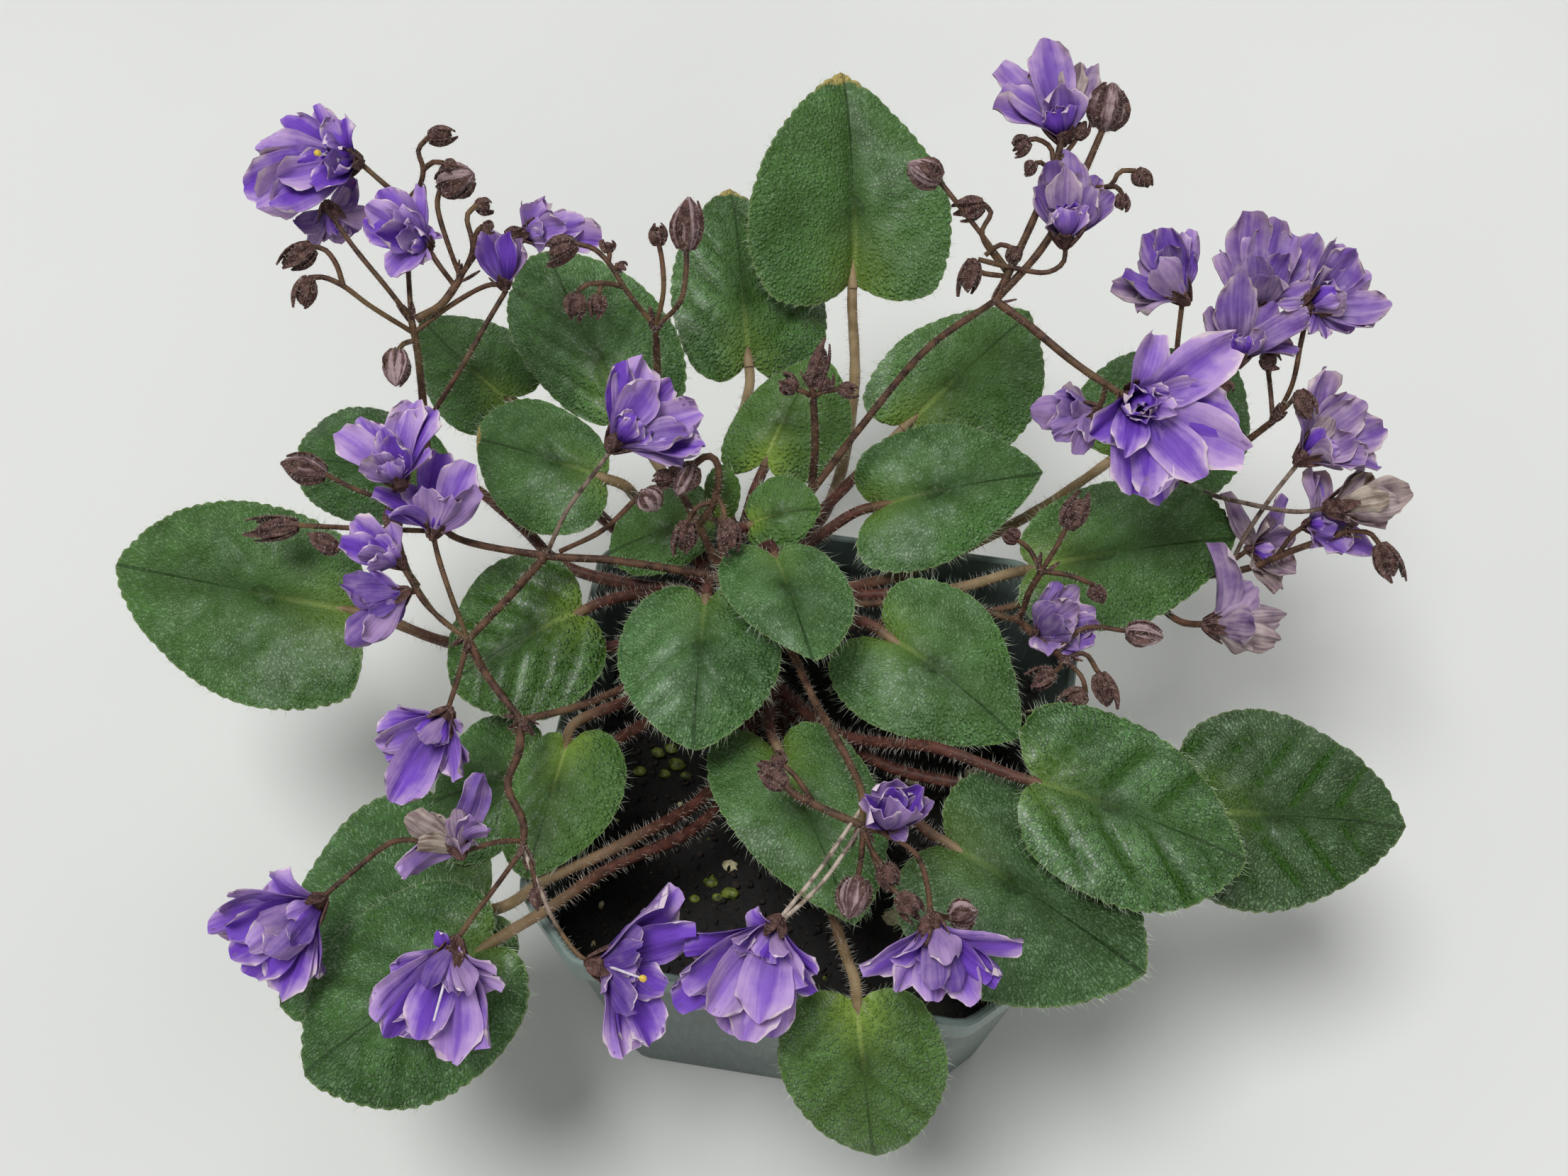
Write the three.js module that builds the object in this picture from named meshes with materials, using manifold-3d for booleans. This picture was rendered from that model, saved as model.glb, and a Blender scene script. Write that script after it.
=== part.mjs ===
// A trailing african violet in a square nursery pot with cut corners.
// The plant leans out of the pot on one woody rootstock: long leaf stalks carry heart-shaped,
// toothed blades over the rim, and branching flower stalks carry double violet blooms and buds.
// Millimetres, +Z up. The origin is the middle of the pot's base, and the pot's sides lie along X and Y.
import * as THREE from 'three';
import { mergeVertices } from 'three/addons/utils/BufferGeometryUtils.js';
import Module from 'manifold-3d';

// Driving dimensions
const POT_WIDTH = 101.6;
const POT_HEIGHT = 80;
const POT_BASE_WIDTH = 87.4;
const POT_CORNER_CUT = 13;
const POT_WALL = 1.3;
const POT_FLOOR = 2;
const LIP_HEIGHT = 9;
const LIP_PROUD = 1.1;
const LIP_DRAFT = 0.6;
const LIP_THICKNESS = 1.5;
const DRAIN_RADIUS = 4;
const DRAIN_PLACE = 24;
const SOIL_BELOW_RIM = 28;
const FIT_GAP = 0.35;
const MERGE_WITHIN = 0.14;
const SEAT_STEPS = 5;
const SEAT_REACH = 6;
const ROOTSTOCK_RADIUS = 4.4;
const ROOTSTOCK_LEAN_DROP = 0.9;
const SOIL_HOLE_ROOM = 1.6;
const CROWN_RADIUS = 3.4;
const PETIOLE_RADIUS = 1.45;
const PETIOLE_END_RADIUS = 1.1;
const PETIOLE_OVERLAP = 1.2;
const PETIOLE_DIP = 0.8;
const BLADE_THICKNESS = 0.9;
const BLADE_ARCH = 1.6;
const TOOTH_DEPTH = 0.045;
const PETAL_THICKNESS = 0.7;
const ROUND_SIDES = 12;
const ROOTSTOCK_SIDES = 8;
const ROOTSTOCK_STEPS = 6;
const PETIOLE_SIDES = 5;
const STALK_SIDES = 4;
const BUD_SIDES = 5;
const LEAF_TEETH = 6;
const PEDUNCLE_RADIUS = 1;
const PEDUNCLE_END_RADIUS = 0.85;
const PEDICEL_RADIUS = 0.7;

// The view that the places below were read in: a point is given as pixels across and down the
// 2212 x 1659 picture, with its height above the table in millimetres.
const UP = new THREE.Vector3(0, 0, 1);
const VIEW = {
  focalPixels: 2800,
  middle: [1106, 829.5],
  elevation: THREE.MathUtils.degToRad(60.4),
  turn: THREE.MathUtils.degToRad(9.2),
  distance: 505,
  aim: new THREE.Vector3(-5.1, 82.8, 0),
};
VIEW.aim.applyAxisAngle(UP, VIEW.turn);
VIEW.right = new THREE.Vector3(Math.cos(VIEW.turn), Math.sin(VIEW.turn), 0);
VIEW.back = new THREE.Vector3(
  Math.sin(VIEW.turn) * Math.cos(VIEW.elevation),
  -Math.cos(VIEW.turn) * Math.cos(VIEW.elevation),
  Math.sin(VIEW.elevation),
);
VIEW.up = new THREE.Vector3().crossVectors(VIEW.back, VIEW.right);
VIEW.eye = VIEW.aim.clone().addScaledVector(VIEW.back, VIEW.distance);

function seen([across, down, height]) {
  const ray = VIEW.back.clone().multiplyScalar(-VIEW.focalPixels);
  ray.addScaledVector(VIEW.right, across - VIEW.middle[0]);
  ray.addScaledVector(VIEW.up, VIEW.middle[1] - down);
  const reach = (height - VIEW.eye.z) / ray.z;
  return VIEW.eye.clone().addScaledVector(ray, reach);
}

// Closed bodies from points and triangles, and their joining
const wasm = await Module();
wasm.setup();

function body(points, triangles) {
  const geometry = new THREE.BufferGeometry();
  const numbers = points.flatMap((point) => [point.x, point.y, point.z]);
  geometry.setAttribute('position', new THREE.Float32BufferAttribute(numbers, 3));
  geometry.setIndex(triangles.flat());
  return geometry;
}

function solid(geometry) {
  const bare = geometry.clone();
  bare.deleteAttribute('normal');
  bare.deleteAttribute('uv');
  const merged = mergeVertices(bare, 1e-4);
  const mesh = new wasm.Mesh({
    numProp: 3,
    vertProperties: new Float32Array(merged.attributes.position.array),
    triVerts: new Uint32Array(merged.index.array),
  });
  return new wasm.Manifold(mesh);
}

function surface(joined) {
  const mesh = joined.getMesh();
  const geometry = new THREE.BufferGeometry();
  geometry.setAttribute('position', new THREE.Float32BufferAttribute(mesh.vertProperties, 3));
  geometry.setIndex([...mesh.triVerts]);
  return geometry;
}

function join(geometries) {
  let whole = solid(geometries[0]);
  for (const geometry of geometries.slice(1)) {
    whole = whole.add(solid(geometry));
  }
  return whole.asOriginal().simplify(MERGE_WITHIN);
}

// Slides a body along a direction until one fit gap is left to what it grows on
function seat(piece, holder, direction) {
  let seated = piece;
  for (let step = 0; step < SEAT_STEPS; step += 1) {
    const spare = seated.minGap(holder, SEAT_REACH) - FIT_GAP;
    seated = seated.translate(direction.clone().multiplyScalar(spare).toArray());
  }
  return seated;
}

// A stack of rings with the same number of points, closed flat, or to a point at its last end
function loft(rings, lastPoint = null) {
  const sides = rings[0].length;
  const points = rings.flat();
  const triangles = [];
  for (let level = 0; level < rings.length - 1; level += 1) {
    for (let side = 0; side < sides; side += 1) {
      const low = level * sides + side;
      const lowNext = level * sides + ((side + 1) % sides);
      triangles.push([low, lowNext, lowNext + sides]);
      triangles.push([low, lowNext + sides, low + sides]);
    }
  }
  const last = (rings.length - 1) * sides;
  for (let side = 1; side < sides - 1; side += 1) {
    triangles.push([0, side + 1, side]);
  }
  if (lastPoint) {
    points.push(lastPoint);
    for (let side = 0; side < sides; side += 1) {
      triangles.push([points.length - 1, last + side, last + ((side + 1) % sides)]);
    }
  } else {
    for (let side = 1; side < sides - 1; side += 1) {
      triangles.push([last, last + side, last + side + 1]);
    }
  }
  return body(points, triangles);
}

// A round stem along a smooth route, thinner towards its end
function stem(route, startRadius, endRadius, sides, steps) {
  const curve = new THREE.CatmullRomCurve3(route);
  const frames = curve.computeFrenetFrames(steps, false);
  const rings = [];
  for (let step = 0; step <= steps; step += 1) {
    const middle = curve.getPointAt(step / steps);
    const radius = THREE.MathUtils.lerp(startRadius, endRadius, step / steps);
    const ring = [];
    for (let side = 0; side < sides; side += 1) {
      const angle = (2 * Math.PI * side) / sides;
      const point = middle.clone();
      point.addScaledVector(frames.normals[step], radius * Math.cos(angle));
      point.addScaledVector(frames.binormals[step], radius * Math.sin(angle));
      ring.push(point);
    }
    rings.push(ring);
  }
  return loft(rings);
}

// A steady spread of numbers between -1 and 1 for small natural differences
function scatter(seed) {
  const raw = Math.sin(seed * 12.9898 + 4.1) * 43758.5453;
  return 2 * (raw - Math.floor(raw)) - 1;
}

function material(colour, roughness) {
  return new THREE.MeshStandardMaterial({ color: colour, roughness, metalness: 0 });
}

const plant = new THREE.Group();

function place(name, geometry, skin) {
  const mesh = new THREE.Mesh(geometry, skin);
  mesh.name = name;
  plant.add(mesh);
}

// Pot: a thin tapered square with cut corners, a lip band round the rim and four drain holes
const POT_PLASTIC = material(0x39504f, 0.5);
const LIP_BOTTOM = POT_HEIGHT - LIP_HEIGHT;
const BODY_TOP_WIDTH = POT_WIDTH - 2 * LIP_PROUD - LIP_DRAFT;
const CUT_EASE = 0.6;
const INNER_CUT = POT_CORNER_CUT - CUT_EASE;

function squareRing(width, cut, height) {
  const half = width / 2;
  const inner = half - cut;
  const corners = [
    [half, -inner], [half, inner], [inner, half], [-inner, half],
    [-half, inner], [-half, -inner], [-inner, -half], [inner, -half],
  ];
  return corners.map(([x, y]) => new THREE.Vector3(x, y, height));
}

function insideWidth(height) {
  const outside = THREE.MathUtils.lerp(POT_BASE_WIDTH, BODY_TOP_WIDTH, height / LIP_BOTTOM);
  return outside - 2 * POT_WALL;
}

function makePot() {
  const shell = loft([
    squareRing(POT_BASE_WIDTH, POT_CORNER_CUT, 0),
    squareRing(BODY_TOP_WIDTH, POT_CORNER_CUT, LIP_BOTTOM),
    squareRing(POT_WIDTH - LIP_DRAFT, POT_CORNER_CUT, LIP_BOTTOM),
    squareRing(POT_WIDTH, POT_CORNER_CUT, POT_HEIGHT),
    squareRing(POT_WIDTH - 2 * LIP_THICKNESS, INNER_CUT, POT_HEIGHT),
    squareRing(insideWidth(LIP_BOTTOM), INNER_CUT, LIP_BOTTOM - 1),
    squareRing(insideWidth(POT_FLOOR), INNER_CUT, POT_FLOOR),
  ]);
  let pot = solid(shell);
  for (const [x, y] of [[1, 1], [-1, 1], [-1, -1], [1, -1]]) {
    const drain = new THREE.CylinderGeometry(DRAIN_RADIUS, DRAIN_RADIUS, 3 * POT_FLOOR, ROUND_SIDES);
    drain.rotateX(Math.PI / 2);
    drain.translate(x * DRAIN_PLACE, y * DRAIN_PLACE, POT_FLOOR / 2);
    pot = pot.subtract(solid(drain));
  }
  place('pot', surface(pot), POT_PLASTIC);
}

// Rootstock: the woody stem that leans from its hole in the soil to the crown
const ROOTSTOCK = [[1092, 1024, 44], [1087, 990, 60], [1062, 920, 77], [1036, 852, 91], [1024, 822, 98]];
const ROOTSTOCK_ROUTE = ROOTSTOCK.map(seen);
const rootstockCurve = new THREE.CatmullRomCurve3(ROOTSTOCK_ROUTE);

// Soil: peat that fills the pot to well below the rim, with lumps of perlite and algae on it
const SOIL_PEAT = material(0x17130f, 0.95);
const SOIL_TOP = POT_HEIGHT - SOIL_BELOW_RIM;
const SOIL_HOLE_RADIUS = ROOTSTOCK_RADIUS + SOIL_HOLE_ROOM;
const SOIL_CROWN_RISE = 1.4;
const SOIL_HEAP = [
  { share: 1, rise: -1, uneven: 0 },
  { share: 0.8, rise: 0, uneven: 0.8 },
  { share: 0.55, rise: 0.6, uneven: 0.8 },
  { share: 0.28, rise: 1.2, uneven: 0.6 },
];
const LUMP_FLATNESS = 0.8;
const LUMPS = [
  { at: [1030, 1222], radius: 3.6 },
  { at: [1380, 1096], radius: 4.4 },
  { at: [1292, 1098], radius: 3.6 },
  { at: [903, 1088], radius: 2.4 },
  { at: [955, 1078], radius: 3 },
  { at: [928, 1062], radius: 2.6 },
  { at: [1005, 1244], radius: 2.2 },
  { at: [1032, 1262], radius: 2.4 },
  { at: [1262, 1296], radius: 3.4 },
];

function makeSoil() {
  const width = insideWidth(SOIL_TOP) - 2 * FIT_GAP;
  const heap = ({ share, rise, uneven }) => {
    const ring = squareRing(width * share, INNER_CUT * share, SOIL_TOP + rise);
    ring.forEach((point, index) => {
      point.z += uneven * scatter(index + 10 * share);
    });
    return ring;
  };
  const filling = loft([
    squareRing(insideWidth(POT_FLOOR) - 2 * FIT_GAP, INNER_CUT, POT_FLOOR + FIT_GAP),
    ...SOIL_HEAP.map(heap),
  ], new THREE.Vector3(0, 0, SOIL_TOP + SOIL_CROWN_RISE));
  let soil = solid(filling);
  for (const { at: [across, down], radius } of LUMPS) {
    const lump = new THREE.IcosahedronGeometry(radius, 0);
    const middle = seen([across, down, SOIL_TOP]);
    lump.scale(1, LUMP_FLATNESS, LUMP_FLATNESS);
    lump.translate(middle.x, middle.y, middle.z);
    soil = soil.add(solid(lump));
  }
  const foot = ROOTSTOCK_ROUTE[0];
  const depth = 4 * ROOTSTOCK_RADIUS;
  const hole = new THREE.CylinderGeometry(SOIL_HOLE_RADIUS, SOIL_HOLE_RADIUS, depth, ROUND_SIDES);
  hole.rotateX(Math.PI / 2);
  hole.translate(foot.x, foot.y, foot.z - ROOTSTOCK_LEAN_DROP - FIT_GAP + depth / 2);
  place('soil', surface(soil.subtract(solid(hole))), SOIL_PEAT);
}

// Leaves: where the stalk meets the blade, the blade's tip, and its widest point on each side.
// root is how far up the rootstock the stalk starts, and via is the stalk's way there.
const LEAVES = [
  {
    name: 'leaf_01', base: [500, 862, 86], tip: [160, 798, 82],
    sides: [[370, 709, 92], [360, 998, 80]],
    root: 0.6, via: [[820, 915, 84], [640, 908, 85]],
  },
  {
    name: 'leaf_02', base: [628, 672, 90], tip: [420, 650, 80],
    sides: [[520, 573, 86], [500, 735, 78]],
    root: 0.8, via: [[800, 800, 89], [735, 742, 89]],
  },
  {
    name: 'leaf_03', base: [714, 562, 90], tip: [592, 450, 96],
    sides: [[625, 592, 84], [735, 478, 92]],
    root: 0.84, via: [[855, 735, 90]],
  },
  {
    name: 'leaf_04', base: [885, 588, 98], tip: [768, 354, 108],
    sides: [[728, 490, 99], [948, 455, 102]],
    root: 0.92, via: [[950, 690, 93]],
  },
  {
    name: 'leaf_05', base: [852, 672, 102], tip: [670, 620, 100],
    sides: [[755, 752, 97], [770, 568, 103]],
    root: 0.9, via: [[900, 705, 93.5]],
  },
  {
    name: 'leaf_06', base: [1057, 510, 91], tip: [1030, 260, 102],
    sides: [[946, 430, 96], [1165, 440, 85]],
    root: 0.86, via: [[1030, 655, 93]],
  },
  {
    name: 'leaf_07', base: [1208, 400, 92], tip: [1187, 101, 114],
    sides: [[1054, 320, 108], [1343, 310, 101]],
    root: 0.76, via: [[1165, 720, 87], [1204, 560, 89]],
  },
  {
    name: 'leaf_08', base: [1078, 650, 98], tip: [1160, 498, 106],
    sides: [[1028, 600, 98], [1192, 635, 97]],
    root: 0.94, via: [[1062, 700, 95]],
  },
  {
    name: 'leaf_09', base: [1060, 738, 104], tip: [1158, 715, 107],
    sides: [[1095, 672, 107], [1105, 778, 103]],
    root: 0.98, via: [], teeth: 5,
  },
  {
    name: 'leaf_10', base: [1000, 730, 101.5], tip: [860, 784, 95.5],
    sides: [[925, 685, 99.5], [945, 807, 96.5]],
    root: 0.96, via: [],
  },
  {
    name: 'leaf_11', base: [1017, 728, 106], tip: [1020, 655, 111],
    sides: [[994, 690, 108], [1046, 695, 108]],
    root: 1, via: [], teeth: 4,
  },
  {
    name: 'leaf_12', base: [1278, 600, 92], tip: [1454, 436, 98],
    sides: [[1262, 488, 98], [1432, 622, 88]],
    root: 0.78, via: [[1165, 715, 89]],
  },
  {
    name: 'leaf_13', base: [1235, 712, 94], tip: [1472, 664, 97],
    sides: [[1292, 602, 99], [1300, 806, 91]],
    root: 0.8, via: [[1150, 760, 92]],
  },
  {
    name: 'leaf_14', base: [1452, 800, 90], tip: [1746, 755, 88],
    sides: [[1577, 675, 92], [1572, 888, 87]],
    root: 0.68, via: [[1200, 842, 87], [1340, 832, 88]],
  },
  {
    name: 'leaf_15', base: [1572, 645, 86], tip: [1742, 515, 86],
    sides: [[1558, 515, 92], [1725, 690, 80]],
    root: 0.74, via: [[1215, 826, 87], [1310, 795, 85], [1450, 728, 85]],
  },
  {
    name: 'leaf_16', base: [1093, 782, 110], tip: [1150, 932, 109],
    sides: [[1017, 830, 109], [1201, 830, 109]],
    root: 1, via: [[1055, 800, 103]],
  },
  {
    name: 'leaf_17', base: [995, 842, 104], tip: [980, 1057, 99],
    sides: [[871, 920, 100], [1103, 925, 100]],
    root: 0.97, via: [[1006, 822, 100]],
  },
  {
    name: 'leaf_18', base: [1248, 890, 95], tip: [1440, 1040, 91],
    sides: [[1368, 842, 95], [1210, 1012, 89]],
    root: 0.72, via: [[1150, 862, 90]],
  },
  {
    name: 'leaf_19', base: [822, 857, 95], tip: [634, 965, 91],
    sides: [[698, 797, 95], [795, 1005, 90]],
    root: 0.78, via: [[905, 838, 92]],
  },
  {
    name: 'leaf_20', base: [800, 1045, 90], tip: [745, 1240, 85],
    sides: [[880, 1122, 87], [710, 1130, 87]],
    root: 0.56, via: [[892, 985, 86]],
  },
  {
    name: 'leaf_21', base: [765, 1085, 85], tip: [612, 1135, 82.5],
    sides: [[690, 1010, 84.5], [672, 1218, 82.5]],
    root: 0.44, via: [[915, 1018, 80], [840, 1060, 83.6]],
  },
  {
    name: 'leaf_22', base: [690, 1280, 81.5], tip: [392, 1418, 71],
    sides: [[528, 1126, 75.5], [620, 1450, 74.5]],
    root: 0.38, via: [[1010, 1108, 74], [880, 1190, 81], [760, 1247, 84]],
  },
  {
    name: 'leaf_23', base: [693, 1325, 89], tip: [428, 1518, 80],
    sides: [[520, 1278, 85], [662, 1530, 80]],
    root: 0.33, via: [[1000, 1152, 72], [860, 1225, 80], [765, 1287, 86]],
  },
  {
    name: 'leaf_24', base: [1097, 1050, 88], tip: [1205, 1302, 86],
    sides: [[1008, 1130, 87], [1238, 1110, 87]],
    root: 0.5, via: [[1082, 975, 80]],
  },
  {
    name: 'leaf_25', base: [1208, 1415, 86], tip: [1236, 1637, 66],
    sides: [[1098, 1500, 77], [1337, 1492, 77]],
    root: 0.3, via: [[1150, 1200, 70], [1192, 1345, 83]],
  },
  {
    name: 'leaf_26', base: [1332, 1183, 89], tip: [1618, 1372, 84.5],
    sides: [[1340, 1388, 85], [1500, 1115, 87]],
    root: 0.35, via: [[1200, 1090, 76], [1285, 1150, 86]],
  },
  {
    name: 'leaf_27', base: [1457, 1098, 95], tip: [1760, 1212, 90],
    sides: [[1570, 1002, 95], [1560, 1274, 92]],
    root: 0.42, via: [[1180, 1035, 80], [1320, 1055, 90.5]],
  },
  {
    name: 'leaf_28', base: [1690, 1145, 84], tip: [1985, 1165, 78],
    sides: [[1780, 999, 83], [1775, 1285, 78]],
    root: 0.38, via: [[1250, 1080, 78], [1480, 1120, 82.5]],
  },
];

// Half of a heart-shaped outline: along the rib from base to tip, and out from it, where the
// widest point lies WIDEST along the rib and 1 out
const LEAF_GREEN = material(0x4d6f41, 0.6);
const WIDEST = 0.35;
const HALF_OUTLINE = new THREE.SplineCurve([
  [1, 0], [0.955, 0.22], [0.84, 0.52], [0.68, 0.79], [0.5, 0.96], [0.32, 1],
  [0.13, 0.92], [-0.03, 0.72], [-0.11, 0.46], [-0.09, 0.22], [-0.02, 0.07], [0.03, 0],
].map(([along, out]) => new THREE.Vector2(along, out)));
const RING_SHARE = 0.56;
const QUILT_RISE = 0.7;
const ARCH_FALL = 0.6;

function bladeFrame(leaf) {
  const base = seen(leaf.base);
  const rib = seen(leaf.tip).sub(base);
  const widest = base.clone().addScaledVector(rib, WIDEST);
  const halves = leaf.sides.map((side) => seen(side).sub(widest));
  const face = new THREE.Vector3().crossVectors(rib, halves[0]).normalize();
  if (face.z < 0) {
    halves.reverse();
    face.negate();
  }
  return { base, rib, halves, face };
}

function bladePoint(frame, along, out, raise) {
  const point = frame.base.clone().addScaledVector(frame.rib, along);
  point.addScaledVector(out > 0 ? frame.halves[0] : frame.halves[1], Math.abs(out));
  const arch = 4 * BLADE_ARCH * along * (1 - along) * (1 - ARCH_FALL * out * out);
  return point.addScaledVector(frame.face, arch + raise);
}

// The leaf stalk ends just under the blade, where the rib starts
function petiole(leaf) {
  const { base, rib, face } = bladeFrame(leaf);
  const along = rib.clone().normalize();
  const drop = BLADE_THICKNESS / 2 + PETIOLE_END_RADIUS + FIT_GAP;
  const end = base.clone().addScaledVector(face, -drop).addScaledVector(along, PETIOLE_OVERLAP);
  const before = base.clone().addScaledVector(face, -drop - PETIOLE_DIP);
  before.addScaledVector(along, -3 * PETIOLE_OVERLAP);
  const start = rootstockCurve.getPoint(leaf.root);
  const route = [start, ...leaf.via.map(seen), before, end];
  return stem(route, PETIOLE_RADIUS, PETIOLE_END_RADIUS, PETIOLE_SIDES, 2 + leaf.via.length);
}

const STEM_SKIN = material(0x6a4038, 0.7);

function makeCrown() {
  const woody = stem(ROOTSTOCK_ROUTE, ROOTSTOCK_RADIUS, CROWN_RADIUS, ROOTSTOCK_SIDES, ROOTSTOCK_STEPS);
  const whole = join([woody, ...LEAVES.map(petiole)]);
  place('crown', surface(whole), STEM_SKIN);
  return whole;
}

function makeBlade(leaf, crown) {
  const frame = bladeFrame(leaf);
  const perSide = 2 * (leaf.teeth ?? LEAF_TEETH);
  const count = 2 * perSide;
  const edge = [];
  for (let index = 0; index < count; index += 1) {
    const half = index <= perSide ? 1 : -1;
    const share = index <= perSide ? index / perSide : (count - index) / perSide;
    const spot = HALF_OUTLINE.getPoint(share);
    const inset = index % 2 === 1 ? 1 - TOOTH_DEPTH : 1;
    edge.push([WIDEST + (spot.x - WIDEST) * inset, half * spot.y * inset]);
  }
  const layer = (lift) => {
    const points = edge.map(([along, out]) => bladePoint(frame, along, out, lift));
    for (let index = 0; index < count; index += 2) {
      const along = WIDEST + (edge[index][0] - WIDEST) * RING_SHARE;
      const out = edge[index][1] * RING_SHARE;
      points.push(bladePoint(frame, along, out, lift + (out === 0 ? 0 : QUILT_RISE)));
    }
    points.push(bladePoint(frame, WIDEST, 0, lift));
    return points;
  };
  const top = layer(BLADE_THICKNESS / 2);
  const bottom = layer(-BLADE_THICKNESS / 2);
  const face = [];
  const middle = top.length - 1;
  for (let index = 0; index < count; index += 2) {
    const ring = count + index / 2;
    const ringNext = count + ((index / 2 + 1) % perSide);
    const next = (index + 2) % count;
    face.push([index, ring, index + 1], [index + 1, ring, ringNext]);
    face.push([index + 1, ringNext, next], [ring, middle, ringNext]);
  }
  const shift = top.length;
  const triangles = [];
  for (const [first, second, third] of face) {
    triangles.push([first, third, second]);
    triangles.push([first + shift, second + shift, third + shift]);
  }
  for (let index = 0; index < count; index += 1) {
    const next = (index + 1) % count;
    triangles.push([index, next + shift, next], [index, index + shift, next + shift]);
  }
  const blade = solid(body([...top, ...bottom], triangles));
  place(leaf.name, surface(seat(blade, crown, frame.face.clone().negate())), LEAF_GREEN);
}

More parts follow.
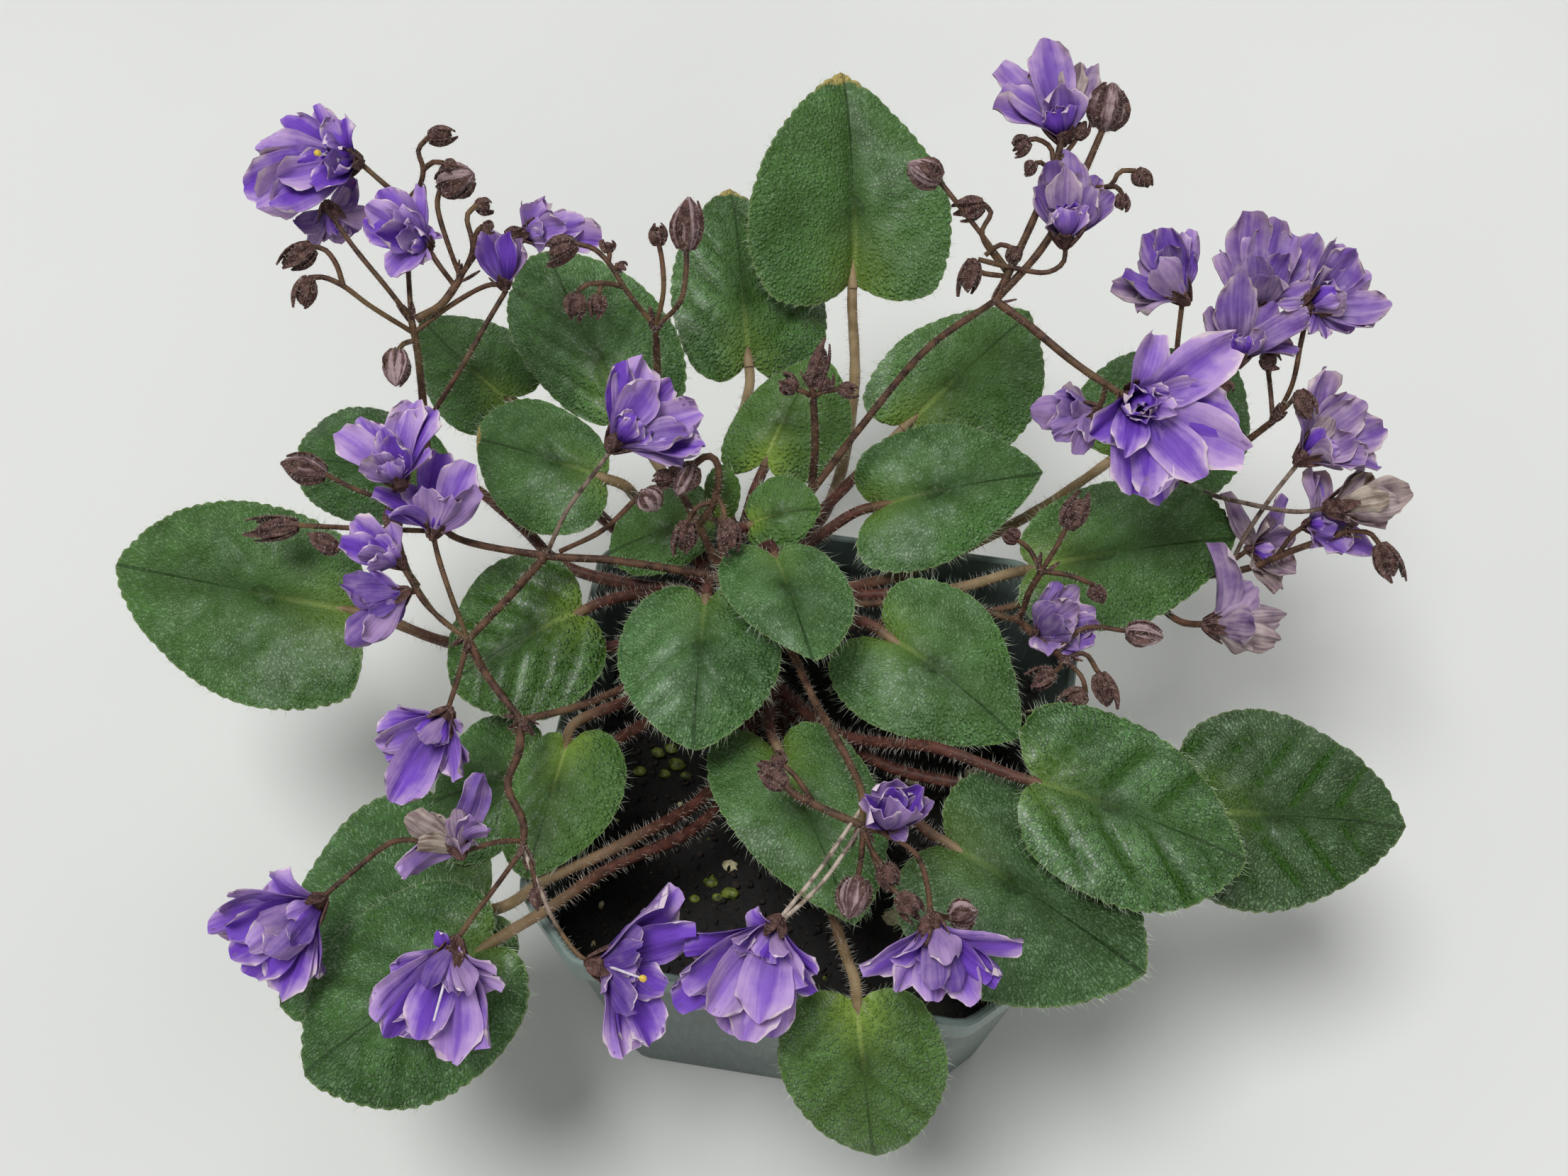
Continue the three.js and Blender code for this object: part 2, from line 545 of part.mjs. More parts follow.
// Flower stalks: each spray's routes, and its buds from neck to tip with their width
const STALK_SKIN = material(0x5b463b, 0.75);
const SPRAYS = [
  {
    name: 'spray_left',
    peduncles: [
      [[998, 810, 101.3], [930, 800, 103], [860, 790, 104], [770, 784, 105], [640, 757, 109], [618, 735, 110]],
      [[618, 735, 110], [604, 650, 113], [596, 560, 121], [588, 490, 128], [580, 450, 132]],
      [[770, 784, 105], [720, 840, 106], [660, 903, 107]],
      [[660, 903, 107], [685, 950, 104], [735, 1016, 101]],
      [[1000, 872, 92], [940, 935, 92], [890, 965, 94], [820, 995, 98], [735, 1016, 101]],
      [[735, 1016, 101], [732, 1060, 101], [716, 1108, 101], [738, 1160, 101], [738, 1197, 101]],
      [[588, 450, 132], [622, 430, 134], [650, 392, 136]],
    ],
    pedicels: [
      [[580, 450, 132], [545, 405, 136], [500, 350, 139], [466, 302, 141]],
      [[584, 470, 130], [520, 430, 136], [482, 402, 139], [455, 391, 140], [436, 392, 140]],
      [[484, 402, 139], [474, 372, 141], [458, 352, 142], [442, 348, 142]],
      [[580, 450, 132], [577, 400, 134], [574, 340, 135], [573, 284, 141]],
      [[573, 284, 141], [545, 262, 144], [506, 228, 146]],
      [[573, 284, 141], [592, 262, 144], [597, 238, 147], [590, 212, 149], [604, 194, 149]],
      [[597, 240, 147], [610, 229, 148], [626, 230, 149]],
      [[642, 404, 135.4], [618, 372, 138], [604, 350, 139]],
      [[650, 392, 136], [634, 350, 140], [617, 290, 143], [622, 262, 143]],
      [[650, 392, 136], [667, 350, 140], [659, 304, 143], [672, 290, 143]],
      [[667, 350, 140], [672, 328, 142], [681, 319, 143]],
      [[584, 470, 130], [640, 428, 133], [690, 402, 133], [712, 402, 133]],
      [[586, 480, 129], [568, 486, 131], [560, 498, 131]],
      [[600, 600, 117.5], [650, 520, 126], [690, 450, 130], [714, 410, 132]],
      [[644, 400, 135.5], [672, 358, 134], [690, 340, 133], [712, 333, 132]],
      [[660, 903, 107], [616, 868, 108], [574, 800, 107], [558, 740, 110], [554, 704, 116], [563, 682, 123]],
      [[660, 903, 107], [636, 840, 111], [618, 785, 114], [611, 755, 116]],
      [[660, 903, 107], [600, 852, 110], [578, 816, 112], [567, 798, 113]],
      [[590, 826, 108], [566, 790, 108], [556, 756, 110]],
      [[588, 834, 111], [574, 837, 111.5]],
      [[660, 903, 107], [648, 950, 107], [630, 1006, 107]],
      [[770, 784, 105], [800, 720, 112], [840, 665, 118], [866, 630, 122]],
      [[790, 778, 105], [850, 748, 110], [893, 708, 115], [908, 692, 117]],
      [[738, 1186, 101], [700, 1188, 103], [650, 1203, 104]],
      [[650, 1203, 104], [560, 1186, 101], [500, 1228, 98], [450, 1270, 97]],
      [[738, 1197, 101], [700, 1250, 101], [662, 1300, 101], [642, 1330, 101]],
      [[738, 1197, 101], [760, 1250, 101], [785, 1305, 101], [820, 1350, 101], [840, 1358, 101]],
      [[748, 1215, 101], [754, 1240, 101], [756, 1252, 101]],
      [[630, 750, 109.5], [500, 745, 107], [440, 742, 104], [420, 741, 103]],
      [[618, 735, 110], [540, 705, 109], [490, 685, 107], [458, 668, 106]],
      [[504, 745, 107], [490, 768, 106], [475, 775, 105]],
    ],
    buds: [
      { neck: [436, 392, 140], tip: [424, 432, 139], width: 4.2 },
      { neck: [442, 348, 142], tip: [402, 376, 141], width: 5 },
      { neck: [604, 194, 149], tip: [640, 190, 149], width: 4 },
      { neck: [626, 230, 149], tip: [642, 238, 148], width: 2.6 },
      { neck: [622, 262, 143], tip: [672, 244, 147], width: 7.5 },
      { neck: [672, 290, 143], tip: [692, 292, 141], width: 3.2 },
      { neck: [681, 319, 143], tip: [697, 322, 142], width: 2.4 },
      { neck: [712, 333, 132], tip: [740, 330, 132], width: 3.4 },
      { neck: [560, 496, 131], tip: [558, 548, 131], width: 5.4 },
      { neck: [908, 692, 117], tip: [930, 722, 114], width: 5.6 },
      { neck: [556, 756, 110], tip: [552, 716, 112], width: 3.6 },
      { neck: [756, 1252, 101], tip: [762, 1280, 99], width: 3 },
      { neck: [420, 741, 103], tip: [356, 748, 102], width: 4.6 },
      { neck: [458, 668, 106], tip: [392, 652, 106], width: 6.2 },
      { neck: [475, 775, 105], tip: [440, 758, 104], width: 4 },
    ],
  },
  {
    name: 'spray_top',
    peduncles: [
      [[1012, 796, 100.6], [985, 740, 106], [955, 680, 108], [936, 600, 112], [928, 530, 120], [925, 462, 131]],
      [[985, 740, 106], [1004, 715, 112], [1014, 680, 116], [1010, 650, 119], [998, 643, 120], [978, 656, 119]],
    ],
    pedicels: [
      [[925, 462, 131], [885, 412, 137], [858, 370, 140], [836, 350, 141], [812, 344, 141]],
      [[880, 405, 137], [858, 400, 139], [826, 402, 140], [814, 414, 139]],
      [[858, 370, 140], [860, 360, 141], [859, 356, 141]],
      [[866, 382, 139], [870, 377, 140], [871, 373, 140]],
      [[850, 401, 139], [846, 408, 139], [845, 416, 138]],
      [[925, 462, 131], [936, 410, 138], [934, 368, 141], [929, 342, 143]],
      [[925, 462, 131], [960, 425, 137], [968, 380, 140], [968, 348, 142]],
      [[1004, 708, 113], [984, 715, 113], [970, 736, 111]],
      [[1012, 700, 114], [1020, 716, 114], [1024, 736, 113]],
      [[978, 656, 119], [962, 668, 118], [952, 672, 117]],
    ],
    buds: [
      { neck: [812, 344, 141], tip: [772, 360, 139], width: 5 },
      { neck: [814, 414, 139], tip: [808, 448, 137], width: 4.2 },
      { neck: [859, 356, 141], tip: [856, 340, 142], width: 2.8 },
      { neck: [871, 373, 140], tip: [880, 380, 139], width: 2.4 },
      { neck: [845, 416, 138], tip: [840, 446, 136], width: 3.6 },
      { neck: [929, 346, 142], tip: [927, 318, 145], width: 3.6 },
      { neck: [968, 352, 141], tip: [972, 272, 148], width: 6.4 },
      { neck: [970, 736, 111], tip: [962, 780, 107], width: 4.6 },
      { neck: [1024, 736, 113], tip: [1034, 776, 113], width: 4.2 },
      { neck: [978, 656, 119], tip: [952, 702, 115], width: 5.4 },
      { neck: [952, 672, 117], tip: [922, 680, 116], width: 3.6 },
    ],
  },
  {
    name: 'spray_upper_right',
    peduncles: [
      [[1052, 810, 98], [1100, 748, 98], [1145, 693, 101], [1220, 595, 110], [1310, 490, 120], [1404, 424, 128]],
      [[1145, 693, 101], [1150, 620, 110], [1146, 545, 118]],
      [[1404, 424, 128], [1430, 370, 132], [1462, 300, 137], [1488, 235, 141], [1498, 196, 143]],
      [[1404, 424, 128], [1470, 350, 133], [1522, 258, 138], [1556, 182, 142]],
      [[1404, 424, 128], [1450, 458, 128], [1520, 515, 127], [1590, 562, 125]],
    ],
    pedicels: [
      [[1420, 390, 130], [1380, 382, 132], [1374, 366, 133]],
      [[1420, 385, 130], [1385, 330, 135], [1398, 300, 137], [1388, 288, 137]],
      [[1422, 380, 131], [1378, 322, 135], [1345, 280, 138], [1326, 256, 139]],
      [[1380, 366, 133], [1430, 378, 132], [1478, 384, 133], [1500, 370, 134], [1503, 340, 136]],
      [[1486, 240, 141], [1482, 208, 143], [1462, 196, 144], [1452, 197, 144]],
      [[1480, 250, 140], [1472, 230, 142], [1460, 230, 142]],
      [[1520, 262, 138], [1566, 262, 140], [1580, 242, 142], [1602, 241, 142]],
      [[1560, 264, 140], [1576, 264, 141], [1583, 274, 140]],
      [[1560, 545, 126], [1554, 568, 122.5], [1548, 577, 121]],
      [[1146, 560, 116], [1132, 552, 118], [1124, 550, 118]],
      [[1146, 560, 116], [1162, 552, 118], [1184, 549, 118]],
      [[1490, 230, 141.2], [1510, 208, 142], [1518, 196, 142]],
      [[1390, 360, 133], [1412, 345, 135], [1428, 350, 135]],
    ],
    buds: [
      { neck: [1374, 366, 133], tip: [1362, 414, 129], width: 4.2 },
      { neck: [1388, 288, 137], tip: [1350, 298, 136], width: 4.6 },
      { neck: [1326, 256, 139], tip: [1278, 228, 141], width: 6.4 },
      { neck: [1428, 350, 135], tip: [1434, 372, 132], width: 3.4 },
      { neck: [1452, 197, 144], tip: [1430, 212, 142], width: 3.8 },
      { neck: [1460, 230, 142], tip: [1446, 244, 141], width: 2.8 },
      { neck: [1602, 241, 142], tip: [1620, 262, 140], width: 3.8 },
      { neck: [1583, 274, 140], tip: [1583, 296, 139], width: 3 },
      { neck: [1556, 182, 142], tip: [1572, 112, 148], width: 8.6 },
      { neck: [1146, 545, 118], tip: [1164, 488, 122], width: 4 },
      { neck: [1124, 550, 118], tip: [1102, 536, 119], width: 3.8 },
      { neck: [1160, 552, 118], tip: [1168, 530, 120], width: 3.4 },
      { neck: [1184, 549, 118], tip: [1208, 552, 117], width: 3 },
      { neck: [1518, 196, 142], tip: [1530, 172, 144], width: 3.6 },
    ],
  },
  {
    name: 'spray_right',
    peduncles: [
      [[1087, 906, 79.5], [1200, 884, 80], [1400, 862, 81.5], [1500, 832, 82.6], [1590, 790, 82.6]],
      [[1590, 790, 82.6], [1640, 740, 82.8], [1668, 686, 84.8], [1735, 640, 96.5], [1796, 594, 106]],
      [[1590, 790, 82.6], [1680, 812, 83], [1760, 802, 86], [1820, 778, 91], [1900, 750, 97]],
      [[1590, 790, 82.6], [1640, 858, 82], [1668, 878, 84], [1702, 881, 87]],
    ],
    pedicels: [
      [[1668, 686, 84.8], [1658, 600, 100], [1660, 500, 111], [1668, 424, 119]],
      [[1796, 594, 106], [1790, 530, 108], [1782, 480, 110], [1774, 436, 115]],
      [[1796, 594, 106], [1822, 545, 112], [1836, 480, 118], [1846, 438, 121]],
      [[1735, 640, 96.5], [1712, 570, 106], [1722, 525, 112], [1748, 508, 114]],
      [[1668, 686, 84.8], [1740, 706, 95], [1830, 722, 99], [1874, 716, 101]],
      [[1740, 790, 85], [1752, 764, 88], [1790, 706, 97], [1836, 648, 104]],
      [[1900, 750, 97], [1932, 752, 99], [1946, 768, 98]],
      [[1800, 786, 89], [1826, 752, 93], [1842, 742, 95]],
      [[1740, 790, 85], [1760, 776, 87]],
      [[1706, 560, 107], [1716, 538, 110], [1726, 538, 110]],
      [[1800, 588, 107], [1820, 568, 111], [1832, 552, 114]],
      [[1790, 530, 108], [1790, 516, 111], [1780, 502, 114]],
    ],
    buds: [
      { neck: [1946, 768, 98], tip: [1968, 816, 94], width: 5 },
      { neck: [1726, 538, 110], tip: [1736, 552, 109], width: 2.6 },
      { neck: [1832, 552, 114], tip: [1850, 586, 113], width: 4.2 },
      { neck: [1780, 502, 114], tip: [1802, 514, 113], width: 4.2 },
    ],
  },
  {
    name: 'spray_near_right',
    peduncles: [
      [[1078, 848, 95], [1200, 852, 91.8], [1360, 852, 90.5], [1434, 872, 92], [1452, 835, 97], [1469, 806, 102]],
      [[1434, 872, 92], [1470, 905, 95], [1500, 930, 97]],
    ],
    pedicels: [
      [[1469, 806, 102], [1490, 772, 105], [1504, 745, 107]],
      [[1469, 806, 102], [1452, 775, 103], [1436, 762, 102]],
      [[1469, 806, 102], [1510, 812, 103], [1545, 826, 102]],
      [[1490, 920, 96], [1530, 886, 97], [1590, 890, 97]],
      [[1500, 930, 97], [1530, 922, 98], [1550, 950, 96]],
      [[1500, 930, 97], [1526, 955, 97], [1532, 978, 95]],
      [[1500, 930, 97], [1496, 940, 96], [1488, 948, 95]],
    ],
    buds: [
      { neck: [1504, 745, 107], tip: [1528, 700, 111], width: 5 },
      { neck: [1436, 762, 102], tip: [1418, 750, 102], width: 3.6 },
      { neck: [1545, 826, 102], tip: [1550, 850, 100], width: 3.6 },
      { neck: [1590, 890, 97], tip: [1645, 900, 96], width: 5.4 },
      { neck: [1550, 950, 96], tip: [1568, 996, 93], width: 4.6 },
      { neck: [1532, 978, 95], tip: [1500, 994, 93], width: 4.4 },
      { neck: [1488, 948, 95], tip: [1455, 962, 94], width: 4 },
    ],
  },
  {
    name: 'spray_front',
    peduncles: [
      [[1053, 863, 93], [1108, 908, 95], [1150, 990, 98], [1195, 1070, 101], [1216, 1120, 103], [1216, 1165, 103]],
      [[1216, 1165, 103], [1160, 1140, 103], [1120, 1120, 104], [1108, 1108, 104]],
    ],
    pedicels: [
      [[1150, 1136, 103], [1122, 1095, 105], [1106, 1080, 105]],
      [[1216, 1165, 103], [1236, 1172, 103], [1252, 1170, 103]],
      [[1216, 1140, 103], [1150, 1235, 104], [1100, 1296, 104]],
      [[1216, 1165, 103], [1160, 1245, 103], [1100, 1302, 104]],
      [[1216, 1165, 103], [1216, 1200, 103], [1210, 1240, 104]],
      [[1216, 1165, 103], [1230, 1200, 103], [1244, 1220, 103]],
      [[1216, 1165, 103], [1250, 1245, 102], [1268, 1262, 102]],
      [[1240, 1172, 103], [1292, 1205, 104], [1310, 1260, 105], [1312, 1300, 106]],
      [[1311, 1286, 105.5], [1330, 1293, 104], [1342, 1296, 103]],
    ],
    buds: [
      { neck: [1108, 1108, 104], tip: [1072, 1084, 104], width: 4.4 },
      { neck: [1106, 1080, 105], tip: [1090, 1066, 105], width: 3.4 },
      { neck: [1210, 1240, 104], tip: [1196, 1300, 104], width: 6.6 },
      { neck: [1244, 1220, 103], tip: [1262, 1250, 102], width: 4.2 },
      { neck: [1268, 1262, 102], tip: [1296, 1292, 101], width: 4.2 },
      { neck: [1340, 1296, 103], tip: [1382, 1284, 103], width: 5.4 },
    ],
  },
];

function bud({ neck, tip, width }) {
  const start = seen(neck);
  const axis = seen(tip).sub(start);
  const out = new THREE.Vector3().crossVectors(axis, VIEW.back).normalize();
  const over = new THREE.Vector3().crossVectors(axis, out).normalize();
  const ring = (share, radius) => {
    const points = [];
    for (let side = 0; side < BUD_SIDES; side += 1) {
      const angle = (2 * Math.PI * side) / BUD_SIDES;
      const point = start.clone().addScaledVector(axis, share);
      point.addScaledVector(out, radius * Math.cos(angle));
      point.addScaledVector(over, radius * Math.sin(angle));
      points.push(point);
    }
    return points;
  };
  const rings = [ring(-0.05, 0.22 * width), ring(0.5, 0.5 * width)];
  return loft(rings, start.clone().add(axis));
}

// Blooms: double flowers, petals in two or three layers round a small heart. calyx is where the
// stalk meets the flower, front is a point that it faces, and open is how far the outer petals
// lie back from that direction, in degrees.
const PETAL_VIOLET = material(0x8f74cf, 0.6);
const BLOOMS = [
  {
    name: 'bloom_01', on: 'spray_left', calyx: [498, 228, 147],
    front: [430, 226, 154], radius: 13.5, open: 72,
  },
  {
    name: 'bloom_02', on: 'spray_left', calyx: [464, 296, 141],
    front: [480, 340, 134], radius: 10.5, open: 62,
  },
  {
    name: 'bloom_03', on: 'spray_left', calyx: [600, 344, 140],
    front: [548, 328, 147], radius: 10.5, open: 66,
  },
  {
    name: 'bloom_04', on: 'spray_left', calyx: [744, 330, 133],
    front: [794, 312, 137], radius: 9.5, open: 52,
  },
  {
    name: 'bloom_05', on: 'spray_left', calyx: [870, 624, 123],
    front: [930, 566, 130], radius: 15, open: 56,
  },
  {
    name: 'bloom_06', on: 'spray_left', calyx: [563, 678, 124.5],
    front: [536, 620, 133], radius: 12, open: 58,
  },
  {
    name: 'bloom_07', on: 'spray_left', calyx: [612, 748, 117],
    front: [630, 690, 121], radius: 9.6, open: 58,
  },
  {
    name: 'bloom_08', on: 'spray_left', calyx: [562, 792, 114],
    front: [520, 752, 119], radius: 8.8, open: 54,
  },
  {
    name: 'bloom_09', on: 'spray_left', calyx: [568, 838, 112],
    front: [520, 866, 110], radius: 8.8, open: 52,
  },
  {
    name: 'bloom_10', on: 'spray_left', calyx: [628, 1012, 107],
    front: [588, 1072, 106], radius: 12, open: 60,
  },
  {
    name: 'bloom_11', on: 'spray_left', calyx: [446, 1275, 97],
    front: [380, 1326, 99], radius: 13.5, open: 62,
  },
  {
    name: 'bloom_12', on: 'spray_left', calyx: [640, 1338, 101],
    front: [618, 1412, 99], radius: 13.5, open: 62,
  },
  {
    name: 'bloom_13', on: 'spray_left', calyx: [846, 1360, 101],
    front: [915, 1366, 102], radius: 15.5, open: 64,
  },
  {
    name: 'bloom_14', on: 'spray_front', calyx: [1092, 1308, 104],
    front: [1056, 1392, 104], radius: 14, open: 62,
  },
  {
    name: 'bloom_15', on: 'spray_front', calyx: [1316, 1306, 106],
    front: [1324, 1376, 104], radius: 14, open: 64,
  },
  {
    name: 'bloom_16', on: 'spray_upper_right', calyx: [1498, 190, 143],
    front: [1482, 120, 152], radius: 13.5, open: 54,
  },
  {
    name: 'bloom_17', on: 'spray_upper_right', calyx: [1503, 334, 137],
    front: [1510, 262, 147], radius: 15, open: 34,
  },
  {
    name: 'bloom_18', on: 'spray_right', calyx: [1668, 418, 120],
    front: [1628, 366, 126], radius: 12, open: 52,
  },
  {
    name: 'bloom_19', on: 'spray_right', calyx: [1773, 430, 116],
    front: [1784, 360, 125], radius: 12, open: 48,
  },
  {
    name: 'bloom_20', on: 'spray_right', calyx: [1848, 432, 122],
    front: [1910, 404, 127], radius: 13.5, open: 56,
  },
  {
    name: 'bloom_21', on: 'spray_right', calyx: [1746, 506, 115],
    front: [1754, 450, 122], radius: 11.5, open: 52,
  },
  {
    name: 'bloom_22', on: 'spray_upper_right', calyx: [1594, 564, 125],
    front: [1644, 590, 136], radius: 16, open: 76,
  },
  {
    name: 'bloom_23', on: 'spray_right', calyx: [1840, 644, 105],
    front: [1898, 604, 110], radius: 14, open: 50,
  },
];

// Small, fading and half-open blooms, each fused to the stalk that carries it
const STALK_BLOOMS = {
  spray_left: [
    { calyx: [712, 404, 133], front: [700, 350, 139], radius: 9.5, open: 26 },
    { calyx: [650, 1206, 104], front: [630, 1160, 106], radius: 9.5, open: 58 },
  ],
  spray_right: [
    { calyx: [1876, 716, 101], front: [1950, 698, 103], radius: 15.5, open: 12 },
    { calyx: [1842, 742, 95], front: [1876, 736, 98], radius: 9, open: 60 },
    { calyx: [1762, 774, 87], front: [1800, 782, 88], radius: 9.5, open: 46 },
    { calyx: [1704, 881, 87], front: [1780, 884, 85], radius: 13.5, open: 16 },
  ],
  spray_upper_right: [
    { calyx: [1548, 577, 121], front: [1504, 590, 118], radius: 8.5, open: 56 },
  ],
  spray_near_right: [
    { calyx: [1462, 896, 95], front: [1510, 872, 101], radius: 8.5, open: 36 },
  ],
  spray_front: [
    { calyx: [1252, 1170, 103], front: [1262, 1140, 110], radius: 7.4, open: 22 },
  ],
};
const OUTER_PETALS = 5;
const INNER_PETALS = 4;
const BIG_BLOOM = 13.2;
const HEART_SHARE = 0.15;
const PETAL_CUP = 0.1;
const NOTCH_AT = 0.58;
const SHOULDER_AT = 0.88;
const SHOULDER_TURN = 0.76;
const RING_AT = 0.45;
const OUTER_TURN = 0.3;
const INNER_TURN = 0.6;
const INNER_SHARE = { lean: 0.5, length: 0.76 };
const CLOSED_BELOW = 30;

// One layer of petals: a cupped sheet cut into rounded lobes, with a notch between every two
function petalLayer(bloom, heart, axes, { lobes, lean, length, turn, seed }) {
  const thick = PETAL_THICKNESS / 2;
  const spot = (around, along, lift) => {
    const outward = axes.first.clone().multiplyScalar(Math.cos(around));
    outward.addScaledVector(axes.second, Math.sin(around));
    const point = heart.clone().addScaledVector(axes.front, along * length * Math.cos(lean));
    point.addScaledVector(outward, along * length * Math.sin(lean));
    const cup = PETAL_CUP * length * Math.sin(Math.PI * along) + lift;
    point.addScaledVector(axes.front, cup * Math.sin(lean));
    return point.addScaledVector(outward, -cup * Math.cos(lean));
  };
  const layer = (lift) => {
    const edge = [];
    const ring = [];
    for (let lobe = 0; lobe < lobes; lobe += 1) {
      const chance = scatter(seed + lobe);
      const half = Math.PI / lobes;
      const around = turn + 2 * half * lobe;
      const reach = 1 + 0.07 * chance;
      edge.push(spot(around - half, NOTCH_AT, lift));
      edge.push(spot(around - SHOULDER_TURN * half, SHOULDER_AT * reach, lift));
      edge.push(spot(around + 0.1 * half * chance, reach, lift));
      edge.push(spot(around + SHOULDER_TURN * half, SHOULDER_AT * reach, lift));
      ring.push(spot(around, RING_AT, lift));
    }
    const apex = heart.clone().addScaledVector(axes.front, lift / Math.max(0.3, Math.sin(lean)));
    return [...edge, ...ring, apex];
  };
  const points = [...layer(thick), ...layer(-thick)];
  const shift = 5 * lobes + 1;
  const face = [];
  for (let lobe = 0; lobe < lobes; lobe += 1) {
    const corner = 4 * lobe;
    const nextCorner = 4 * ((lobe + 1) % lobes);
    const ring = 4 * lobes + lobe;
    const nextRing = 4 * lobes + ((lobe + 1) % lobes);
    face.push([corner, corner + 1, ring], [corner + 1, corner + 2, ring]);
    face.push([corner + 2, corner + 3, ring], [corner + 3, nextCorner, ring]);
    face.push([ring, nextCorner, nextRing], [ring, nextRing, shift - 1]);
  }
  const triangles = [];
  for (const [first, second, third] of face) {
    triangles.push([first, second, third]);
    triangles.push([first + shift, third + shift, second + shift]);
  }
  for (let index = 0; index < 4 * lobes; index += 1) {
    const next = (index + 1) % (4 * lobes);
    triangles.push([index, index + shift, next + shift], [index, next + shift, next]);
  }
  return body(points, triangles);
}

function bloomPieces(bloom, seed, sunk) {
  const calyx = seen(bloom.calyx);
  const front = seen(bloom.front).sub(calyx).normalize();
  const heartRadius = HEART_SHARE * bloom.radius;
  const rise = sunk ? heartRadius / 2 : heartRadius + FIT_GAP;
  const heart = calyx.clone().addScaledVector(front, rise);
  const first = new THREE.Vector3().crossVectors(front, VIEW.up).normalize();
  const second = new THREE.Vector3().crossVectors(front, first);
  const axes = { front, first, second };
  const lean = THREE.MathUtils.degToRad(bloom.open);
  const middle = new THREE.OctahedronGeometry(heartRadius, 0);
  middle.translate(heart.x, heart.y, heart.z);
  const outer = {
    lobes: OUTER_PETALS, lean, length: bloom.radius, turn: OUTER_TURN * scatter(seed), seed,
  };
  const inner = {
    lobes: bloom.radius > BIG_BLOOM ? INNER_PETALS : INNER_PETALS - 1,
    lean: INNER_SHARE.lean * lean,
    length: INNER_SHARE.length * bloom.radius,
    turn: INNER_TURN,
    seed: seed + 7,
  };
  const pieces = [middle, petalLayer(bloom, heart, axes, outer)];
  if (bloom.open > CLOSED_BELOW) {
    pieces.push(petalLayer(bloom, heart, axes, inner));
  }
  return pieces;
}

const SPRAY_SOLIDS = new Map();

function makeSprays() {
  SPRAYS.forEach((spray, order) => {
    const pieces = [];
    for (const route of spray.peduncles) {
      const steps = route.length - 1;
      pieces.push(stem(route.map(seen), PEDUNCLE_RADIUS, PEDUNCLE_END_RADIUS, STALK_SIDES, steps));
    }
    for (const route of spray.pedicels) {
      const steps = Math.max(2, route.length - 1);
      pieces.push(stem(route.map(seen), PEDICEL_RADIUS, PEDICEL_RADIUS, STALK_SIDES, steps));
    }
    pieces.push(...spray.buds.map(bud));
    (STALK_BLOOMS[spray.name] ?? []).forEach((bloom, index) => {
      pieces.push(...bloomPieces(bloom, 300 + 40 * order + 9 * index, true));
    });
    const whole = join(pieces);
    SPRAY_SOLIDS.set(spray.name, whole);
    place(spray.name, surface(whole), STALK_SKIN);
  });
}

function makeBlooms() {
  BLOOMS.forEach((bloom, index) => {
    const backward = seen(bloom.calyx).sub(seen(bloom.front)).normalize();
    const whole = join(bloomPieces(bloom, 20 * index, false));
    place(bloom.name, surface(seat(whole, SPRAY_SOLIDS.get(bloom.on), backward)), PETAL_VIOLET);
  });
}

makePot();
makeSoil();
const crown = makeCrown();
LEAVES.forEach((leaf) => makeBlade(leaf, crown));
makeSprays();
makeBlooms();

export default plant;
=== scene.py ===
# A trailing african violet in a square nursery pot with cut corners.
# One leaning rootstock carries long leaf stalks with heart-shaped, toothed, hairy blades, and
# branching flower stalks with double violet blooms and brown, hairy buds.
# Metres, +Z up. The origin is the middle of the pot's base, and its sides lie along X and Y.
import math

import bpy
import numpy as np
from mathutils import Matrix, Vector, noise


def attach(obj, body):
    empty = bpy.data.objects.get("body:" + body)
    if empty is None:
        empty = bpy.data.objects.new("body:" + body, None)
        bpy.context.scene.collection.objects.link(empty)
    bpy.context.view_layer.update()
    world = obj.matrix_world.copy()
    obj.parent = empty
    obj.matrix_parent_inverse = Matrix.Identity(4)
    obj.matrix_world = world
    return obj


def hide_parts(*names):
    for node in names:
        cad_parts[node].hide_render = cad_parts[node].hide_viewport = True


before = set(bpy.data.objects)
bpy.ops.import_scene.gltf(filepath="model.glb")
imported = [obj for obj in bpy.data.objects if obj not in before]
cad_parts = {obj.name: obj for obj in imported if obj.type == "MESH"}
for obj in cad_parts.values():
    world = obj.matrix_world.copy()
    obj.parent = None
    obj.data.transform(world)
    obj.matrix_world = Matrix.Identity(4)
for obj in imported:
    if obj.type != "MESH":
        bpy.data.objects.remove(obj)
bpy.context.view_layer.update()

# The camera stands above and in front of the pot, a little to its left, and looks down at it.
# Places on the plant were read from its picture, so each is given as pixels across and down a
# 2212 x 1659 frame, with its height above the table in millimetres.
MM = 0.001
FRAME_WIDTH = 2212
FRAME_MIDDLE = (1106, 829.5)
FOCAL_PIXELS = 2800
SENSOR_WIDTH = 36
CAMERA_ELEVATION = math.radians(60.4)
CAMERA_TURN = math.radians(9.2)
CAMERA_DISTANCE = 0.505
CAMERA_AIM = (-0.0051, 0.0828)
turn_sin, turn_cos = math.sin(CAMERA_TURN), math.cos(CAMERA_TURN)
view_right = np.array([turn_cos, turn_sin, 0.0])
view_back = np.array([
    turn_sin * math.cos(CAMERA_ELEVATION),
    -turn_cos * math.cos(CAMERA_ELEVATION),
    math.sin(CAMERA_ELEVATION),
])
view_up = np.cross(view_back, view_right)
eye = np.array([
    CAMERA_AIM[0] * turn_cos - CAMERA_AIM[1] * turn_sin,
    CAMERA_AIM[0] * turn_sin + CAMERA_AIM[1] * turn_cos,
    0.0,
]) + CAMERA_DISTANCE * view_back


